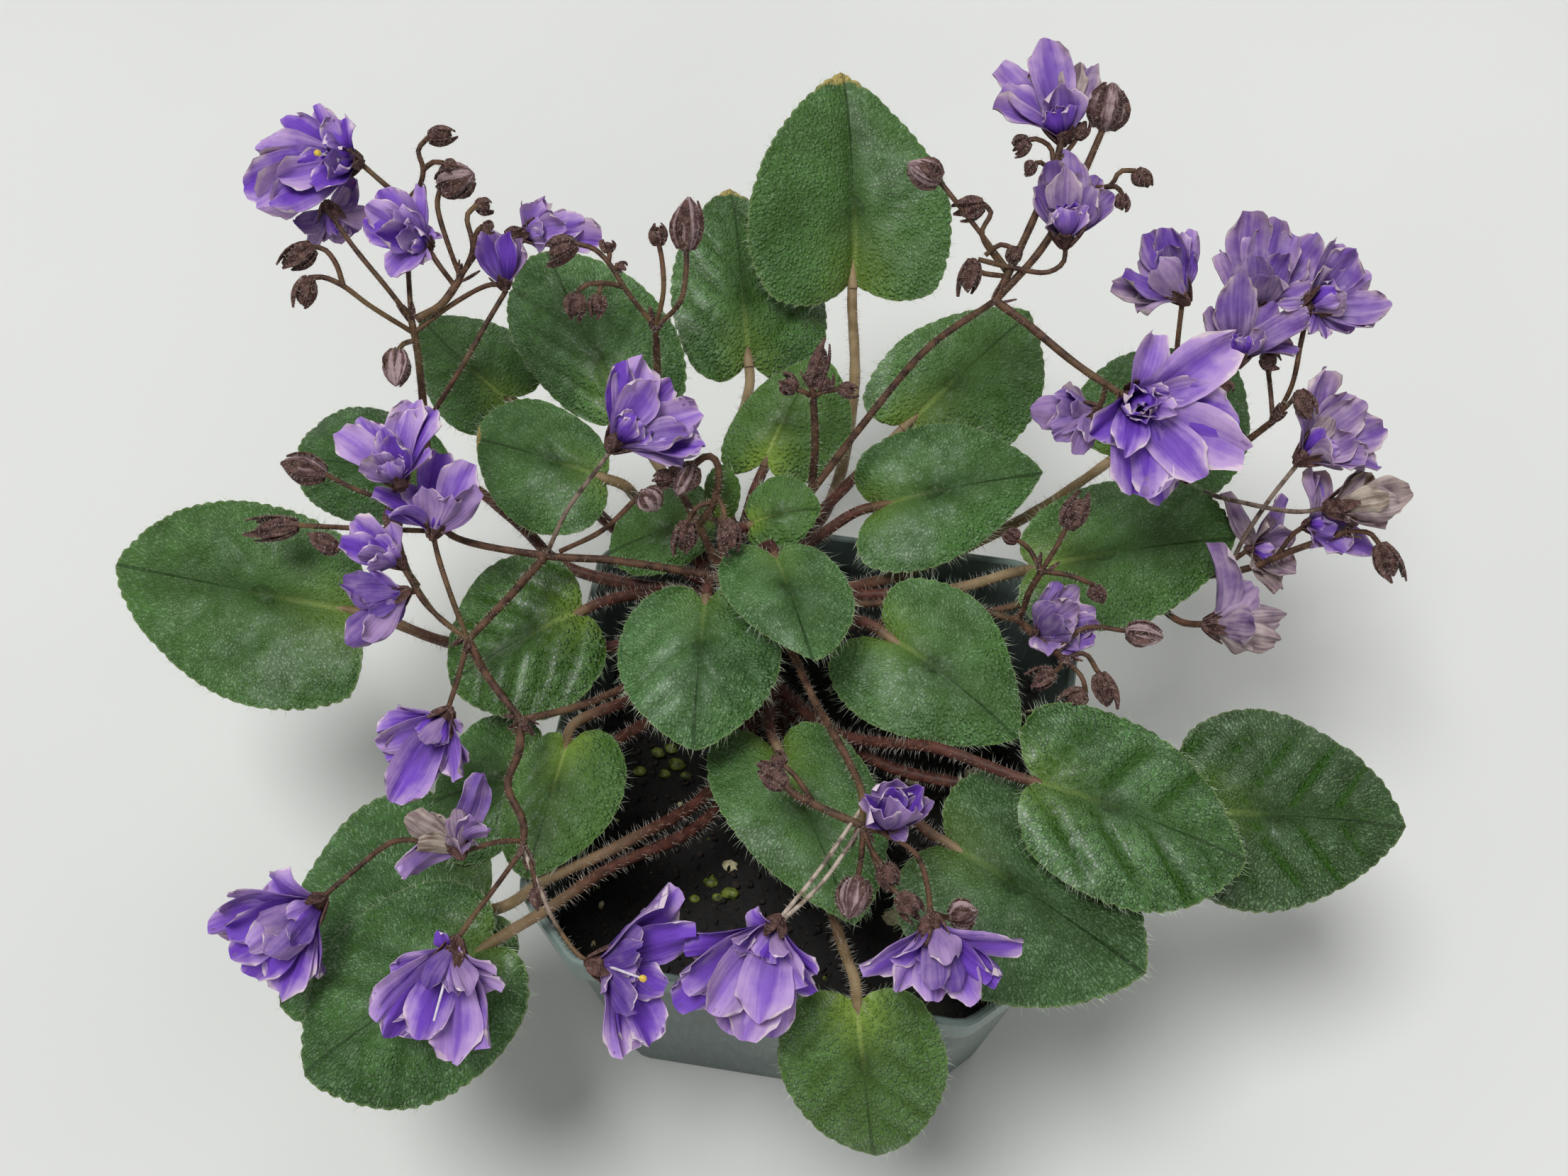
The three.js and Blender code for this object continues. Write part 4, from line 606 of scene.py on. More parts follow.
# name, where the stalk meets the blade, the blade's tip, its widest point on each side, how far
# up the rootstock the stalk starts, and the stalk's way to the blade. Then, from 0 to 1: how
# silvery, how deeply grooved, how yellow and how dark the blade is, how far back its two lobes
# reach, and last how much of its stalk, from the blade down, is tan.
LEAVES = [
    ("leaf_01", (500, 862, 86), (160, 798, 82), (370, 709, 92), (360, 998, 80), 0.6,
     [(820, 915, 84), (640, 908, 85)], (0.45, 0.3, 0.3, 0.1, 0.4), 0.35),
    ("leaf_02", (628, 672, 90), (420, 650, 80), (520, 573, 86), (500, 735, 78), 0.8,
     [(800, 800, 89), (735, 742, 89)], (0.2, 0.6, 0.1, 0.25, 0.7), 0.2),
    ("leaf_03", (714, 562, 90), (592, 450, 96), (625, 592, 84), (735, 478, 92), 0.84,
     [(855, 735, 90)], (0.45, 0.6, 0.4, 0, 0.7), 0.6),
    ("leaf_04", (885, 588, 98), (768, 354, 108), (728, 490, 99), (948, 455, 102), 0.92,
     [(950, 690, 93)], (0.7, 0.6, 0.3, 0, 0.7), 0.6),
    ("leaf_05", (852, 672, 102), (670, 620, 100), (755, 752, 97), (770, 568, 103), 0.9,
     [(900, 705, 93.5)], (0.6, 0.3, 0.25, 0.1, 0.6), 0.55),
    ("leaf_06", (1057, 510, 91), (1030, 260, 102), (946, 430, 96), (1165, 440, 85), 0.86,
     [(1030, 655, 93)], (0.35, 0.7, 0.3, 0, 0.7), 0.95),
    ("leaf_07", (1208, 400, 92), (1187, 101, 114), (1054, 320, 108), (1343, 310, 101), 0.76,
     [(1165, 720, 87), (1204, 560, 89)], (0.65, 0.3, 0.35, 0.1, 0.55), 0.86),
    ("leaf_08", (1078, 650, 98), (1160, 498, 106), (1028, 600, 98), (1192, 635, 97), 0.94,
     [(1062, 700, 95)], (0.5, 0.4, 0.9, 0, 0.8), 0.2),
    ("leaf_09", (1060, 738, 104), (1158, 715, 107), (1095, 672, 107), (1105, 778, 103), 0.98,
     [], (0.4, 0.4, 0.7, 0, 0.9), 0.2),
    ("leaf_10", (1000, 730, 101.5), (860, 784, 95.5), (925, 685, 99.5), (945, 807, 96.5), 0.96,
     [], (0.55, 0.4, 0.5, 0, 0.8), 0.2),
    ("leaf_11", (1017, 728, 106), (1020, 655, 111), (994, 690, 108), (1046, 695, 108), 1,
     [], (0.1, 0.3, 0.9, 0.1, 0.8), 0.2),
    ("leaf_12", (1278, 600, 92), (1454, 436, 98), (1262, 488, 98), (1432, 622, 88), 0.78,
     [(1165, 715, 89)], (0.6, 0.4, 0.5, 0, 0.6), 0.35),
    ("leaf_13", (1235, 712, 94), (1472, 664, 97), (1292, 602, 99), (1300, 806, 91), 0.8,
     [(1150, 760, 92)], (0.85, 0.25, 0.25, 0, 0.7), 0.2),
    ("leaf_14", (1452, 800, 90), (1746, 755, 88), (1577, 675, 92), (1572, 888, 87), 0.68,
     [(1200, 842, 87), (1340, 832, 88)], (0.7, 0.4, 0.4, 0, 0.6), 0.55),
    ("leaf_15", (1572, 645, 86), (1742, 515, 86), (1558, 515, 92), (1725, 690, 80), 0.74,
     [(1215, 826, 87), (1310, 795, 85), (1450, 728, 85)], (0.4, 0.4, 0.25, 0, 0.7), 0.8),
    ("leaf_16", (1093, 782, 110), (1150, 932, 109), (1017, 830, 109), (1201, 830, 109), 1,
     [(1055, 800, 103)], (0.85, 0.2, 0.15, 0.1, 1), 0.2),
    ("leaf_17", (995, 842, 104), (980, 1057, 99), (871, 920, 100), (1103, 925, 100), 0.97,
     [(1006, 822, 100)], (1.0, 0.45, 0.1, 0.1, 1), 0.2),
    ("leaf_18", (1248, 890, 95), (1440, 1040, 91), (1368, 842, 95), (1210, 1012, 89), 0.72,
     [(1150, 862, 90)], (0.9, 0.3, 0.3, 0, 0.9), 0.2),
    ("leaf_19", (822, 857, 95), (634, 965, 91), (698, 797, 95), (795, 1005, 90), 0.78,
     [(905, 838, 92)], (0.1, 1.0, 0.45, 0.1, 0.6), 0.2),
    ("leaf_20", (800, 1045, 90), (745, 1240, 85), (880, 1122, 87), (710, 1130, 87), 0.56,
     [(892, 985, 86)], (0.5, 0.4, 0.65, 0, 1), 0.35),
    ("leaf_21", (765, 1085, 85), (612, 1135, 82.5), (690, 1010, 84.5), (672, 1218, 82.5), 0.44,
     [(915, 1018, 80), (840, 1060, 83.6)], (0.3, 0.5, 0.3, 0.1, 0.7), 0.2),
    ("leaf_22", (690, 1280, 81.5), (392, 1418, 71), (528, 1126, 75.5), (620, 1450, 74.5), 0.38,
     [(1010, 1108, 74), (880, 1190, 81), (760, 1247, 84)], (0.5, 0.6, 0.1, 0.2, 0.7), 0.5),
    ("leaf_23", (693, 1325, 89), (428, 1518, 80), (520, 1278, 85), (662, 1530, 80), 0.33,
     [(1000, 1152, 72), (860, 1225, 80), (765, 1287, 86)], (0.45, 0.7, 0.15, 0.1, 0.8), 0.36),
    ("leaf_24", (1097, 1050, 88), (1205, 1302, 86), (1008, 1130, 87), (1238, 1110, 87), 0.5,
     [(1082, 975, 80)], (0.7, 0.3, 0.3, 0.1, 0.9), 0.2),
    ("leaf_25", (1208, 1415, 86), (1236, 1637, 66), (1098, 1500, 77), (1337, 1492, 77), 0.3,
     [(1150, 1200, 70), (1192, 1345, 83)], (0.35, 0.8, 0.85, 0, 0.65), 0.45),
    ("leaf_26", (1332, 1183, 89), (1618, 1372, 84.5), (1340, 1388, 85), (1500, 1115, 87), 0.35,
     [(1200, 1090, 76), (1285, 1150, 86)], (0.6, 0.3, 0.1, 0.6, 0.7), 0.2),
    ("leaf_27", (1457, 1098, 95), (1760, 1212, 90), (1570, 1002, 95), (1560, 1274, 92), 0.42,
     [(1180, 1035, 80), (1320, 1055, 90.5)], (0.7, 1.0, 0.2, 0, 0.6), 0.12),
    ("leaf_28", (1690, 1145, 84), (1985, 1165, 78), (1780, 999, 83), (1775, 1285, 78), 0.38,
     [(1250, 1080, 78), (1480, 1120, 82.5)], (0.1, 1.0, 0.2, 0.75, 0.7), 0.2),
]


def route_point(points, share):
    """A point of the smooth curve through the points, at a share of its spans"""
    spans = len(points) - 1
    span = min(int(share * spans), spans - 1)
    near, far = points[span], points[span + 1]
    before = points[span - 1] if span > 0 else 2 * near - far
    after = points[span + 2] if span + 2 <= spans else 2 * far - near
    pairs = [(before, near), (near, far), (far, after)]
    gap_in, gap, gap_out = [max(np.linalg.norm(b - a), 1e-9) ** 0.5 for a, b in pairs]
    leave = (near - before) / gap_in - (far - before) / (gap_in + gap) + (far - near) / gap
    arrive = (far - near) / gap - (after - near) / (gap + gap_out) + (after - far) / gap_out
    s = share * spans - span
    return (near * (2 * s ** 3 - 3 * s ** 2 + 1) + leave * gap * (s ** 3 - 2 * s ** 2 + s)
            + far * (3 * s ** 2 - 2 * s ** 3) + arrive * gap * (s ** 3 - s ** 2))


def way_gone(points):
    """How far along their line each of the points lies"""
    return np.concatenate([[0], np.cumsum(np.linalg.norm(np.diff(points, axis=0), axis=1))])


def spread_evenly(points, gone, spans):
    """Points along a line with that many even spans between them"""
    even = np.linspace(0, gone[-1], spans + 1)
    return np.stack([np.interp(even, gone, numbers) for numbers in points.T], axis=1)


def smooth_route(points, step):
    """Points along the smooth curve through the given ones, about one step apart"""
    fine_count = FINE_STEPS * (len(points) - 1)
    fine = np.array([route_point(points, index / fine_count) for index in range(fine_count + 1)])
    gone = way_gone(fine)
    return spread_evenly(fine, gone, max(4, round(gone[-1] / step)))


# Round stems along lines: the lines' points carry their thickness
stem_growth = Growth("round_stems", [("Sides", "Int")])
given = stem_growth.given
curves = stem_growth.node("MeshToCurve", {"Mesh": given["Geometry"]})
profile = stem_growth.node("CurvePrimitiveCircle", {"Resolution": given["Sides"], "Radius": 1.0})
tubes = stem_growth.node("CurveToMesh", {
    "Curve": curves, "Profile Curve": profile, "Scale": stem_growth.attribute("thick"),
    "Fill Caps": True,
})
stem_growth.close(stem_growth.node("SetShadeSmooth", {"Geometry": tubes}))


def make_stems(name, stems, sides, finish):
    """One piece of round stems, each given as its route, radii, and values at its two ends"""
    points, edges, values = [], [], {}
    for route, start_radius, end_radius, ends in stems:
        count = len(route)
        edges += [(len(points) + index, len(points) + index + 1) for index in range(count - 1)]
        uneven = [1 + STEM_UNEVEN * rough(point, 260, 1) for point in route]
        thick = np.linspace(start_radius, end_radius, count) * np.array(uneven)
        points += [tuple(point) for point in route]
        values.setdefault("thick", []).extend(thick)
        for key, (start, end) in ends.items():
            values.setdefault(key, []).extend(np.linspace(start, end, count))
    mesh = bpy.data.meshes.new(name)
    mesh.from_pydata(points, edges, [])
    write_values(mesh, values)
    return stem_growth.piece(name, mesh, {"Sides": sides, "Finish": finish})


# Hairs: a thin three-sided spike for each point scattered over a skin where it is downy. Each
# stands up, leans the way the skin combs it, and strays a little.
hair_growth = Growth("hairs", [
    ("Per Square Metre", "Float"), ("Length", "Float"), ("Width", "Float"), ("Lean", "Float"),
    ("Seed", "Int"),
])
given = hair_growth.given
density = hair_growth.node("ShaderNodeMath", {
    0: given["Per Square Metre"], 1: hair_growth.attribute("downy"),
}, operation="MULTIPLY")
scattered = hair_growth.scattered(density)
spike = hair_growth.node("MeshCone", {
    "Vertices": 3, "Radius Top": 0.0, "Radius Bottom": 0.5, "Depth": 1.0,
})
strayed = hair_growth.node("ShaderNodeVectorMath", {
    "Vector": hair_growth.random((-1.0, -1.0, -1.0), (1.0, 1.0, 1.0)), "Scale": given["Lean"],
}, operation="SCALE")
combed = hair_growth.node("ShaderNodeVectorMath", {
    0: scattered.node.outputs["Normal"], 1: hair_growth.attribute("comb", "FLOAT_VECTOR"),
}, operation="ADD")
leaning = hair_growth.node("ShaderNodeVectorMath", {0: combed, 1: strayed}, operation="ADD")
share = hair_growth.node("ShaderNodeMath", {
    0: hair_growth.random(0.5, 1.25), 1: hair_growth.attribute("longer"),
}, operation="ADD")
reach = hair_growth.node("ShaderNodeMath", {0: given["Length"], 1: share}, operation="MULTIPLY")
hair_growth.close(hair_growth.node("InstanceOnPoints", {
    "Points": scattered, "Instance": spike,
    "Rotation": hair_growth.node(
        "FunctionNodeAlignRotationToVector", {"Vector": leaning}, axis="Z"),
    "Scale": hair_growth.node("ShaderNodeCombineXYZ", {
        "X": given["Width"], "Y": given["Width"], "Z": reach,
    }),
}))


def grow_hairs(name, skin, slot, finish, per_metre, length, width, lean, seed):
    """A piece of hairs over a skin"""
    hairs = hair_growth.piece(name, skin, {
        "Per Square Metre": per_metre, "Length": length, "Width": width, "Lean": lean,
        "Seed": seed, "Finish": finish,
    })
    keep_piece(hairs, slot)


WIDEST = 0.35
BLADE_ARCH = 1.6 * MM
ARCH_FALL = 0.6


def blade_frame(base, tip, side_a, side_b):
    """The blade's base, rib, half widths to its two sides, and the way its face looks"""
    base, tip = seen(base), seen(tip)
    rib = tip - base
    widest = base + WIDEST * rib
    halves = [seen(side_a) - widest, seen(side_b) - widest]
    face = unit(np.cross(rib, halves[0]))
    if face[2] < 0:
        halves.reverse()
        face = -face
    return base, rib, halves, face


def blade_arch(along, out):
    """How far a blade's middle rises at a share of its rib and of its half width"""
    return 4 * BLADE_ARCH * along * (1 - along) * (1 - ARCH_FALL * out * out)


stem_skin, tree = start_material("stem_skin")
stem_cloud = tree.mottle(500, 4)
stem_streak = tree.mottle(90)
tan_start = (tree.attribute("way") + tree.attribute("tan") - 1).rise(0.0, 0.45)
maroon = stem_cloud.shades((56, 25, 24), (94, 53, 46))
buff = stem_streak.shades((108, 90, 58), (154, 134, 102), 0.35, 0.65)
tree.surface({
    "Base Color": (tan_start + stem_streak * 0.12).blend(maroon, buff),
    "Roughness": 0.42 + stem_cloud * 0.2,
    "Specular IOR Level": 0.22,
    "Subsurface Weight": 0.08,
    "Subsurface Scale": 0.0008,
    "Normal": tree.relief(stem_cloud, 0.0002),
})
stem_hair = plain_paint("stem_hair", (164, 152, 138), (222, 216, 204), 400, 0.45, 0.00001)

rootstock_route = [seen(place) for place in ROOTSTOCK]
stems = [(
    smooth_route(rootstock_route, STEM_STEP), ROOTSTOCK_RADIUS, CROWN_RADIUS,
    {"way": (0, 0.1), "tan": (0.5, 0), "downy": (0.2, 0.6)},
)]
for _, *corners, root, via, _, tan_share in LEAVES:
    base, rib, _, face = blade_frame(*corners)
    along = unit(rib)
    end = base - face * PETIOLE_DROP + along * PETIOLE_OVERLAP
    before = base - face * (PETIOLE_DROP + PETIOLE_DIP) - along * 3 * PETIOLE_OVERLAP
    start = route_point(rootstock_route, root)
    route = [start, *[seen(place) for place in via], before, end]
    stems.append((
        smooth_route(route, STEM_STEP), PETIOLE_RADIUS, PETIOLE_END_RADIUS,
        {"way": (0, 1), "tan": (tan_share, tan_share), "downy": (1, 1)},
    ))
    ribway = [end - along * RIB_START_BACK]
    for share in RIB_SHARES:
        under = RIB_SINK * min(1, np.linalg.norm(rib) / FULL_BLADE) * (1.15 - share)
        under += (1 - share) * PETIOLE_END_RADIUS + RIB_CLEAR
        ribway.append(base + rib * share + face * (blade_arch(share, 0) - under))
    stems.append((
        smooth_route(ribway, STEM_STEP), PETIOLE_END_RADIUS, RIB_END_RADIUS,
        {"way": (1, 1), "tan": (tan_share, 1), "downy": (0.6, 0.3)},
    ))
crown = make_stems("leaf_stalks", stems, STEM_SIDES, stem_skin)
keep_piece(crown, "stem", "crown")
grow_hairs("leaf_stalk_hairs", crown.data, "stem", stem_hair, per_metre=1100000,
           length=1.6 * MM, width=0.08 * MM, lean=0.4, seed=3)

# Leaf blades: thick, soft and heart-shaped, with a toothed margin, side veins sunk between
# puffed panels, and a fine net of pits. White hairs stand on both faces and round the margin.
HALF_OUTLINE = [
    (1, 0), (0.955, 0.22), (0.84, 0.52), (0.68, 0.79), (0.5, 0.96), (0.32, 1),
    (0.13, 0.92), (-0.03, 0.72), (-0.11, 0.46), (-0.09, 0.22), (-0.02, 0.07), (0.03, 0),
]
OUTLINE_STEPS = 240
TOOTH_SPACING = 2.8 * MM
TOOTH_DEPTH = 0.34 * MM
TOOTH_STEPS = (1.0, 0.25, 0.0)
TOOTH_FULL_BLADE = 40 * MM
BLADE_RINGS = (
    0.1, 0.2, 0.3, 0.39, 0.48, 0.56, 0.64, 0.71, 0.78, 0.84, 0.89, 0.93, 0.965, 0.985, 1.0,
)
BLADE_TOP = 0.3 * MM
BLADE_UNDER = -0.2 * MM
VEINS = 4.3
VEIN_SWEEP = 0.4
VEIN_BEND = 1.2
GROOVE_DEPTH = 0.8 * MM
GROOVE_WIDTH = 0.23
HOLLOW_WIDTH = 0.36
PUFF_RISE = 0.6 * MM
PITS_RISE = 0.16 * MM
RIB_VALLEY = 2.4 * MM
MARGIN_DROOP = 0.8 * MM
FUR_REACH = 16 * MM
MARGIN_WAVE = 0.8 * MM
SCORCHED = ("leaf_05", "leaf_06", "leaf_07")


def outline_point(share):
    """A point of the smooth half outline"""
    spans = len(HALF_OUTLINE) - 1
    span = min(int(share * spans), spans - 1)
    s = share * spans - span
    corners = [HALF_OUTLINE[max(0, min(spans, span + shift))] for shift in (-1, 0, 1, 2)]
    before, near, far, after = [np.array(corner) for corner in corners]
    leave, arrive = (far - before) / 2, (after - near) / 2
    return ((2 * near - 2 * far + leave + arrive) * s ** 3
            + (-3 * near + 3 * far - 2 * leave - arrive) * s ** 2 + leave * s + near)


outline = np.array([
    outline_point(index / OUTLINE_STEPS) for index in range(OUTLINE_STEPS + 1)])


def margin_points(rib_length, half_length):
    """Toothed half outline from tip to base, its teeth evenly spaced"""
    gone = way_gone(outline * np.array([rib_length, half_length]))
    teeth = max(8, round(gone[-1] / TOOTH_SPACING))
    each = len(TOOTH_STEPS)
    steps = each * teeth
    spots = spread_evenly(outline, gone, steps)
    reach = np.linalg.norm((spots - [WIDEST, 0]) * [rib_length, half_length], axis=1)
    deeper = np.random.RandomState(steps).uniform(0.3, 1.5, teeth + 1)
    inset = np.array([
        TOOTH_STEPS[index % each] * deeper[index // each] for index in range(steps + 1)])
    inset = 1 - inset * TOOTH_DEPTH * np.clip(rib_length / TOOTH_FULL_BLADE, 0.5, 1.2) / reach
    inset[0] = 1
    return np.array([WIDEST, 0]) + (spots - [WIDEST, 0]) * inset[:, None]


def wave(values, low, high):
    """0 below low, 1 above high and smooth between, on numbers"""
    share = np.clip((values - low) / (high - low), 0, 1)
    return share * share * (3 - 2 * share)


def blade_piece(leaf, order, finish):
    """Makes the blade, and gives what its hairs need: points, skin, rim and point values"""
    name, *corners, _, _, (silver, groove, yellow, shade, lobes), _ = leaf
    base, rib, halves, face = blade_frame(*corners)
    rib_length = np.linalg.norm(rib)
    sides = [margin_points(rib_length, np.linalg.norm(half)) for half in halves]
    edge = np.concatenate([sides[0][:-1], sides[1][:0:-1] * [1, -1]])
    edge[:, 0] = np.where(edge[:, 0] < 0, edge[:, 0] * lobes, edge[:, 0])
    count = len(edge)
    centre = np.array([WIDEST, 0])
    flat = np.concatenate([[centre]] + [centre + (edge - centre) * ring for ring in BLADE_RINGS])
    ring_share = np.concatenate([[0]] + [np.full(count, ring) for ring in BLADE_RINGS])
    turn = np.concatenate([[0]] + [np.arange(count) * math.tau / count for _ in BLADE_RINGS])
    along, out = flat[:, 0], flat[:, 1]
    size = min(1.0, rib_length / FULL_BLADE)
    draw = np.random.RandomState(40 + order)
    left = out > 0
    vein = along - VEIN_SWEEP * draw.uniform(0.85, 1.25) * np.abs(out) ** VEIN_BEND
    vein = vein * VEINS * draw.uniform(0.85, 1.1) + np.where(left, *draw.uniform(-0.2, 0.2, 2))
    off = np.abs((vein + 0.5) % 1 - 0.5) * 2
    inner = 1 - wave(np.abs(out), 0.6, 0.95)
    drawn = draw.uniform(groove ** 2, 1.0, 40)
    strength = drawn[np.round(vein).astype(int) + np.where(left, 10, 30)]
    inner = inner * (1 - 0.7 * wave(along, 0.7, 0.95))
    sunk = np.exp(-(off / GROOVE_WIDTH) ** 2) * inner * strength * wave(np.abs(out), 0.0, 0.12)
    rise = blade_arch(along, out)
    rise += size * groove * PUFF_RISE * off ** 0.7 * inner * wave(np.abs(out), 0.02, 0.2)
    rise -= size * groove * GROOVE_DEPTH * sunk
    rib_off = np.abs(out) * np.linalg.norm(halves[0])
    # how deep each point lies in a hollow by a vein or the midrib, where painted shade darkens the
    # blade
    shaded_hollow = groove * inner * np.exp(-(off / HOLLOW_WIDTH) ** 2) * wave(np.abs(out), 0.0, 0.12)
    shaded_hollow = np.maximum(shaded_hollow, 0.75 * np.exp(-(rib_off / (1.5 * RIB_VALLEY * size)) ** 2) * inner)
    rise -= size * RIB_SINK * np.exp(-(rib_off / (RIB_VALLEY * size)) ** 2) * (1.15 - along)
    rise -= size * MARGIN_DROOP * ring_share ** 5
    waves = np.sin(2 * turn + order) + 0.7 * np.sin(5 * turn + 2.3 * order)
    rise += size * MARGIN_WAVE * waves * ring_share ** 3
    half = np.where(out[:, None] > 0, halves[0], halves[1])
    middle = base + rib * along[:, None] + half * np.abs(out)[:, None]
    rise += PITS_RISE * np.array([rough(point, 330, 4) for point in middle]) * size
    thin = 1 - 0.55 * ring_share ** 6
    points = np.concatenate([
        middle + face * (rise + BLADE_TOP * thin)[:, None],
        middle + face * (rise + BLADE_UNDER * thin)[:, None],
    ])
    total = len(flat)
    faces = []
    for side in range(count):
        beside = (side + 1) % count
        faces.append((0, 1 + beside, 1 + side))
        faces.append((total, total + 1 + side, total + 1 + beside))
    for ring in range(len(BLADE_RINGS) - 1):
        for side in range(count):
            low, beside = 1 + ring * count + side, 1 + ring * count + (side + 1) % count
            quad = (low, beside, beside + count, low + count)
            faces.append(quad)
            faces.append(tuple(total + quad[corner] for corner in (0, 3, 2, 1)))
    skin_count = len(faces)
    last = 1 + (len(BLADE_RINGS) - 1) * count
    for side in range(count):
        here, beside = last + side, last + (side + 1) % count
        faces.append((here, beside, total + beside, total + here))
    under = np.concatenate([np.zeros(total), np.ones(total)])
    fur = [turn * FUR_REACH, ring_share * rib_length / 2, np.full(total, 0.1 * order)]
    values = {
        "blade": np.tile(np.stack([out, along, ring_share], axis=1), (2, 1)),
        "sunk": np.tile(sunk * groove, 2),
        "fur": np.tile(np.stack(fur, axis=1), (2, 1)),
        "shaded_hollow": np.tile(shaded_hollow, 2),
        "under": under,
        "silver": silver,
        "shade": shade,
        "rugged": groove,
        "yellow": yellow,
        "scorch": float(name in SCORCHED),
    }
    piece = make_piece(name + "_blade", points, faces, [finish], values)
    keep_piece(piece, "leaf", name)
    away = points - np.tile(base + rib * 0.25, (2 * total, 1))
    comb = away / (np.linalg.norm(away, axis=1)[:, None] + 1e-6)
    comb *= (0.7 + 1.2 * np.tile(ring_share, 2) ** 3)[:, None]
    return {
        "points": points, "skin": faces[:skin_count], "rim": faces[skin_count:], "comb": comb,
        "downy": (1 - 0.6 * under) * (1 - 0.8 * values["sunk"]) * (0.4 + 0.6 * silver),
        "longer": 0.7 * np.tile(ring_share, 2) ** 4,
    }


leaf_green, tree = start_material("leaf_green")
blade = tree.attribute("blade", "Vector")
out, along, ring_share = [blade.part(axis) for axis in "XYZ"]
sunk, shade, silver = [tree.attribute(name) for name in ("sunk", "shade", "silver")]
yellow, rugged, shaded_hollow = [tree.attribute(name) for name in ("yellow", "rugged", "shaded_hollow")]
side = abs(out)
cloud = tree.mottle(80, 4)
patch = tree.mottle(260, 3)
grain = tree.mottle(1500, 2)
fur = tree.mottle(1.0, 2, tree.node(
    "Mapping", {}, {"Vector": tree.attribute("fur", "Vector"), "Scale": (2600.0, 900.0, 900.0)},
    "Vector"))
cells = tree.node("TexVoronoi", {"feature": "F1"}, {
    "Vector": tree.place(), "Scale": 1200.0,
}, "Distance")
pebble = 1 - (cells + (grain - 0.5) * 0.3).rise(0.1, 0.62)
# pale specks for the white hair tufts, with painted glints among them
hair_and_glint_specks = fur.rise(0.52, 0.66)
vein_line = (sunk + (patch - 0.5) * 0.3).rise(0.35, 0.8)
# patches where a painted highlight lightens the blade's colour, and where its coat is stronger
painted_highlight = (patch * 0.7 + cloud * 0.3).rise(0.34, 0.66)
at_base = (1 - along.rise(-0.1, 0.42)) * (1 - side.rise(0.0, 0.6))
on_rib = (1 - side.rise(0.01, 0.045)) * (1 - along.rise(0.0, 0.5))
# from the deep green up: each blade's own darker tone, pebble tops painted paler as a painted
# sheen, pale hair specks with painted glints, a painted silvery sheen, painted shade in the
# hollows, veins, the yellower base and rib, the pale margin, and the dry tip of some blades
upper = layered(
    cloud.shades((33, 68, 17), (56, 101, 32)),
    (shade, (13, 28, 4)),
    # pebble tops painted paler: a painted sheen
    (pebble * (0.12 + silver * 0.34 + rugged * 0.3) * (0.6 + painted_highlight * 0.8), (102, 146, 84)),
    (hair_and_glint_specks * (0.04 + silver * 0.24 + rugged * 0.24) * (0.5 + painted_highlight * 0.8), (168, 200, 156)),
    # a painted silvery sheen, strongest in the painted highlight patches
    ((silver + rugged * 0.5) * (0.08 + painted_highlight * 0.24), (98, 138, 94)),
    # painted shade in the hollows by the veins and midrib
    (shaded_hollow * 0.8, (24, 56, 8)),
    (vein_line * 0.7, (34, 76, 8)),
    (at_base * (0.15 + yellow * 0.9) + yellow * 0.2, (124, 152, 58)),
    (on_rib * (0.1 + yellow), (150, 170, 90)),
    (ring_share.rise(0.975, 1.0) * 0.4, (136, 154, 98)),
    (tree.attribute("scorch") * (along + patch * 0.12).rise(1.0, 1.03), (178, 158, 92)),
)
underside = cloud.shades((108, 130, 82), (142, 154, 108))
# the wet-looking sheen sits on the tops of the pebbles, and the hollows have none
gloss = pebble * 0.6 + hair_and_glint_specks * 0.35 + painted_highlight * 0.4
gloss = gloss * (0.13 + silver * 0.17 + rugged * 0.75) * (1 - shaded_hollow * 0.9)
tree.surface({
    "Base Color": tree.attribute("under").blend(upper, underside),
    "Roughness": 0.22 + silver * 0.14 + grain * 0.2 - vein_line * 0.05,
    "Specular IOR Level": 0.24,
    "Coat Weight": gloss,
    "Coat Roughness": 0.33,
    "Normal": tree.relief(
        fur * 0.3 + grain * 0.2 + pebble * (0.4 + (rugged - shaded_hollow) * 0.5), 0.0008),
})
leaf_hair = plain_paint("leaf_hair", (150, 172, 136), (212, 224, 198), 400, 0.45, 0.00001)

blades = [blade_piece(leaf, order, leaf_green) for order, leaf in enumerate(LEAVES)]
shifts = np.cumsum([0] + [len(blade["points"]) for blade in blades])
for skin_name, part, per_metre, length, width, lean in [
    ("leaf_hairs", "skin", 800000, 1.1 * MM, 0.08 * MM, 0.45),
    ("leaf_fringe", "rim", 7000000, 1.4 * MM, 0.068 * MM, 0.4),
]:
    skin = bpy.data.meshes.new(skin_name)
    skin.from_pydata(np.concatenate([blade["points"] for blade in blades]).tolist(), [], [
        tuple(shift + index for index in face)
        for blade, shift in zip(blades, shifts.tolist()) for face in blade[part]
    ])
    write_values(skin, {
        key: np.concatenate([blade[key] for blade in blades])
        for key in ("downy", "longer", "comb")
    })
    grow_hairs(skin_name, skin, "leaf", leaf_hair, per_metre, length, width, lean, seed=7)

# Flower stalks: six branching sprays, thin, brown-maroon and hairy, a few of them dried pale.
# Brown pointed bracts sit where they branch, and buds with five sepals hang from their ends.
PEDUNCLE_RADIUS = 0.86 * MM
PEDUNCLE_END_RADIUS = 0.7 * MM
PEDICEL_RADIUS = 0.52 * MM
STALK_STEP = 1.3 * MM
STALK_SIDES = 8
DRY_SHRINK = 0.2
SEPAL_THICKNESS = 0.25 * MM
SEPAL_SHARES = (0, 0.2, 0.4, 0.6, 0.8, 1.0)
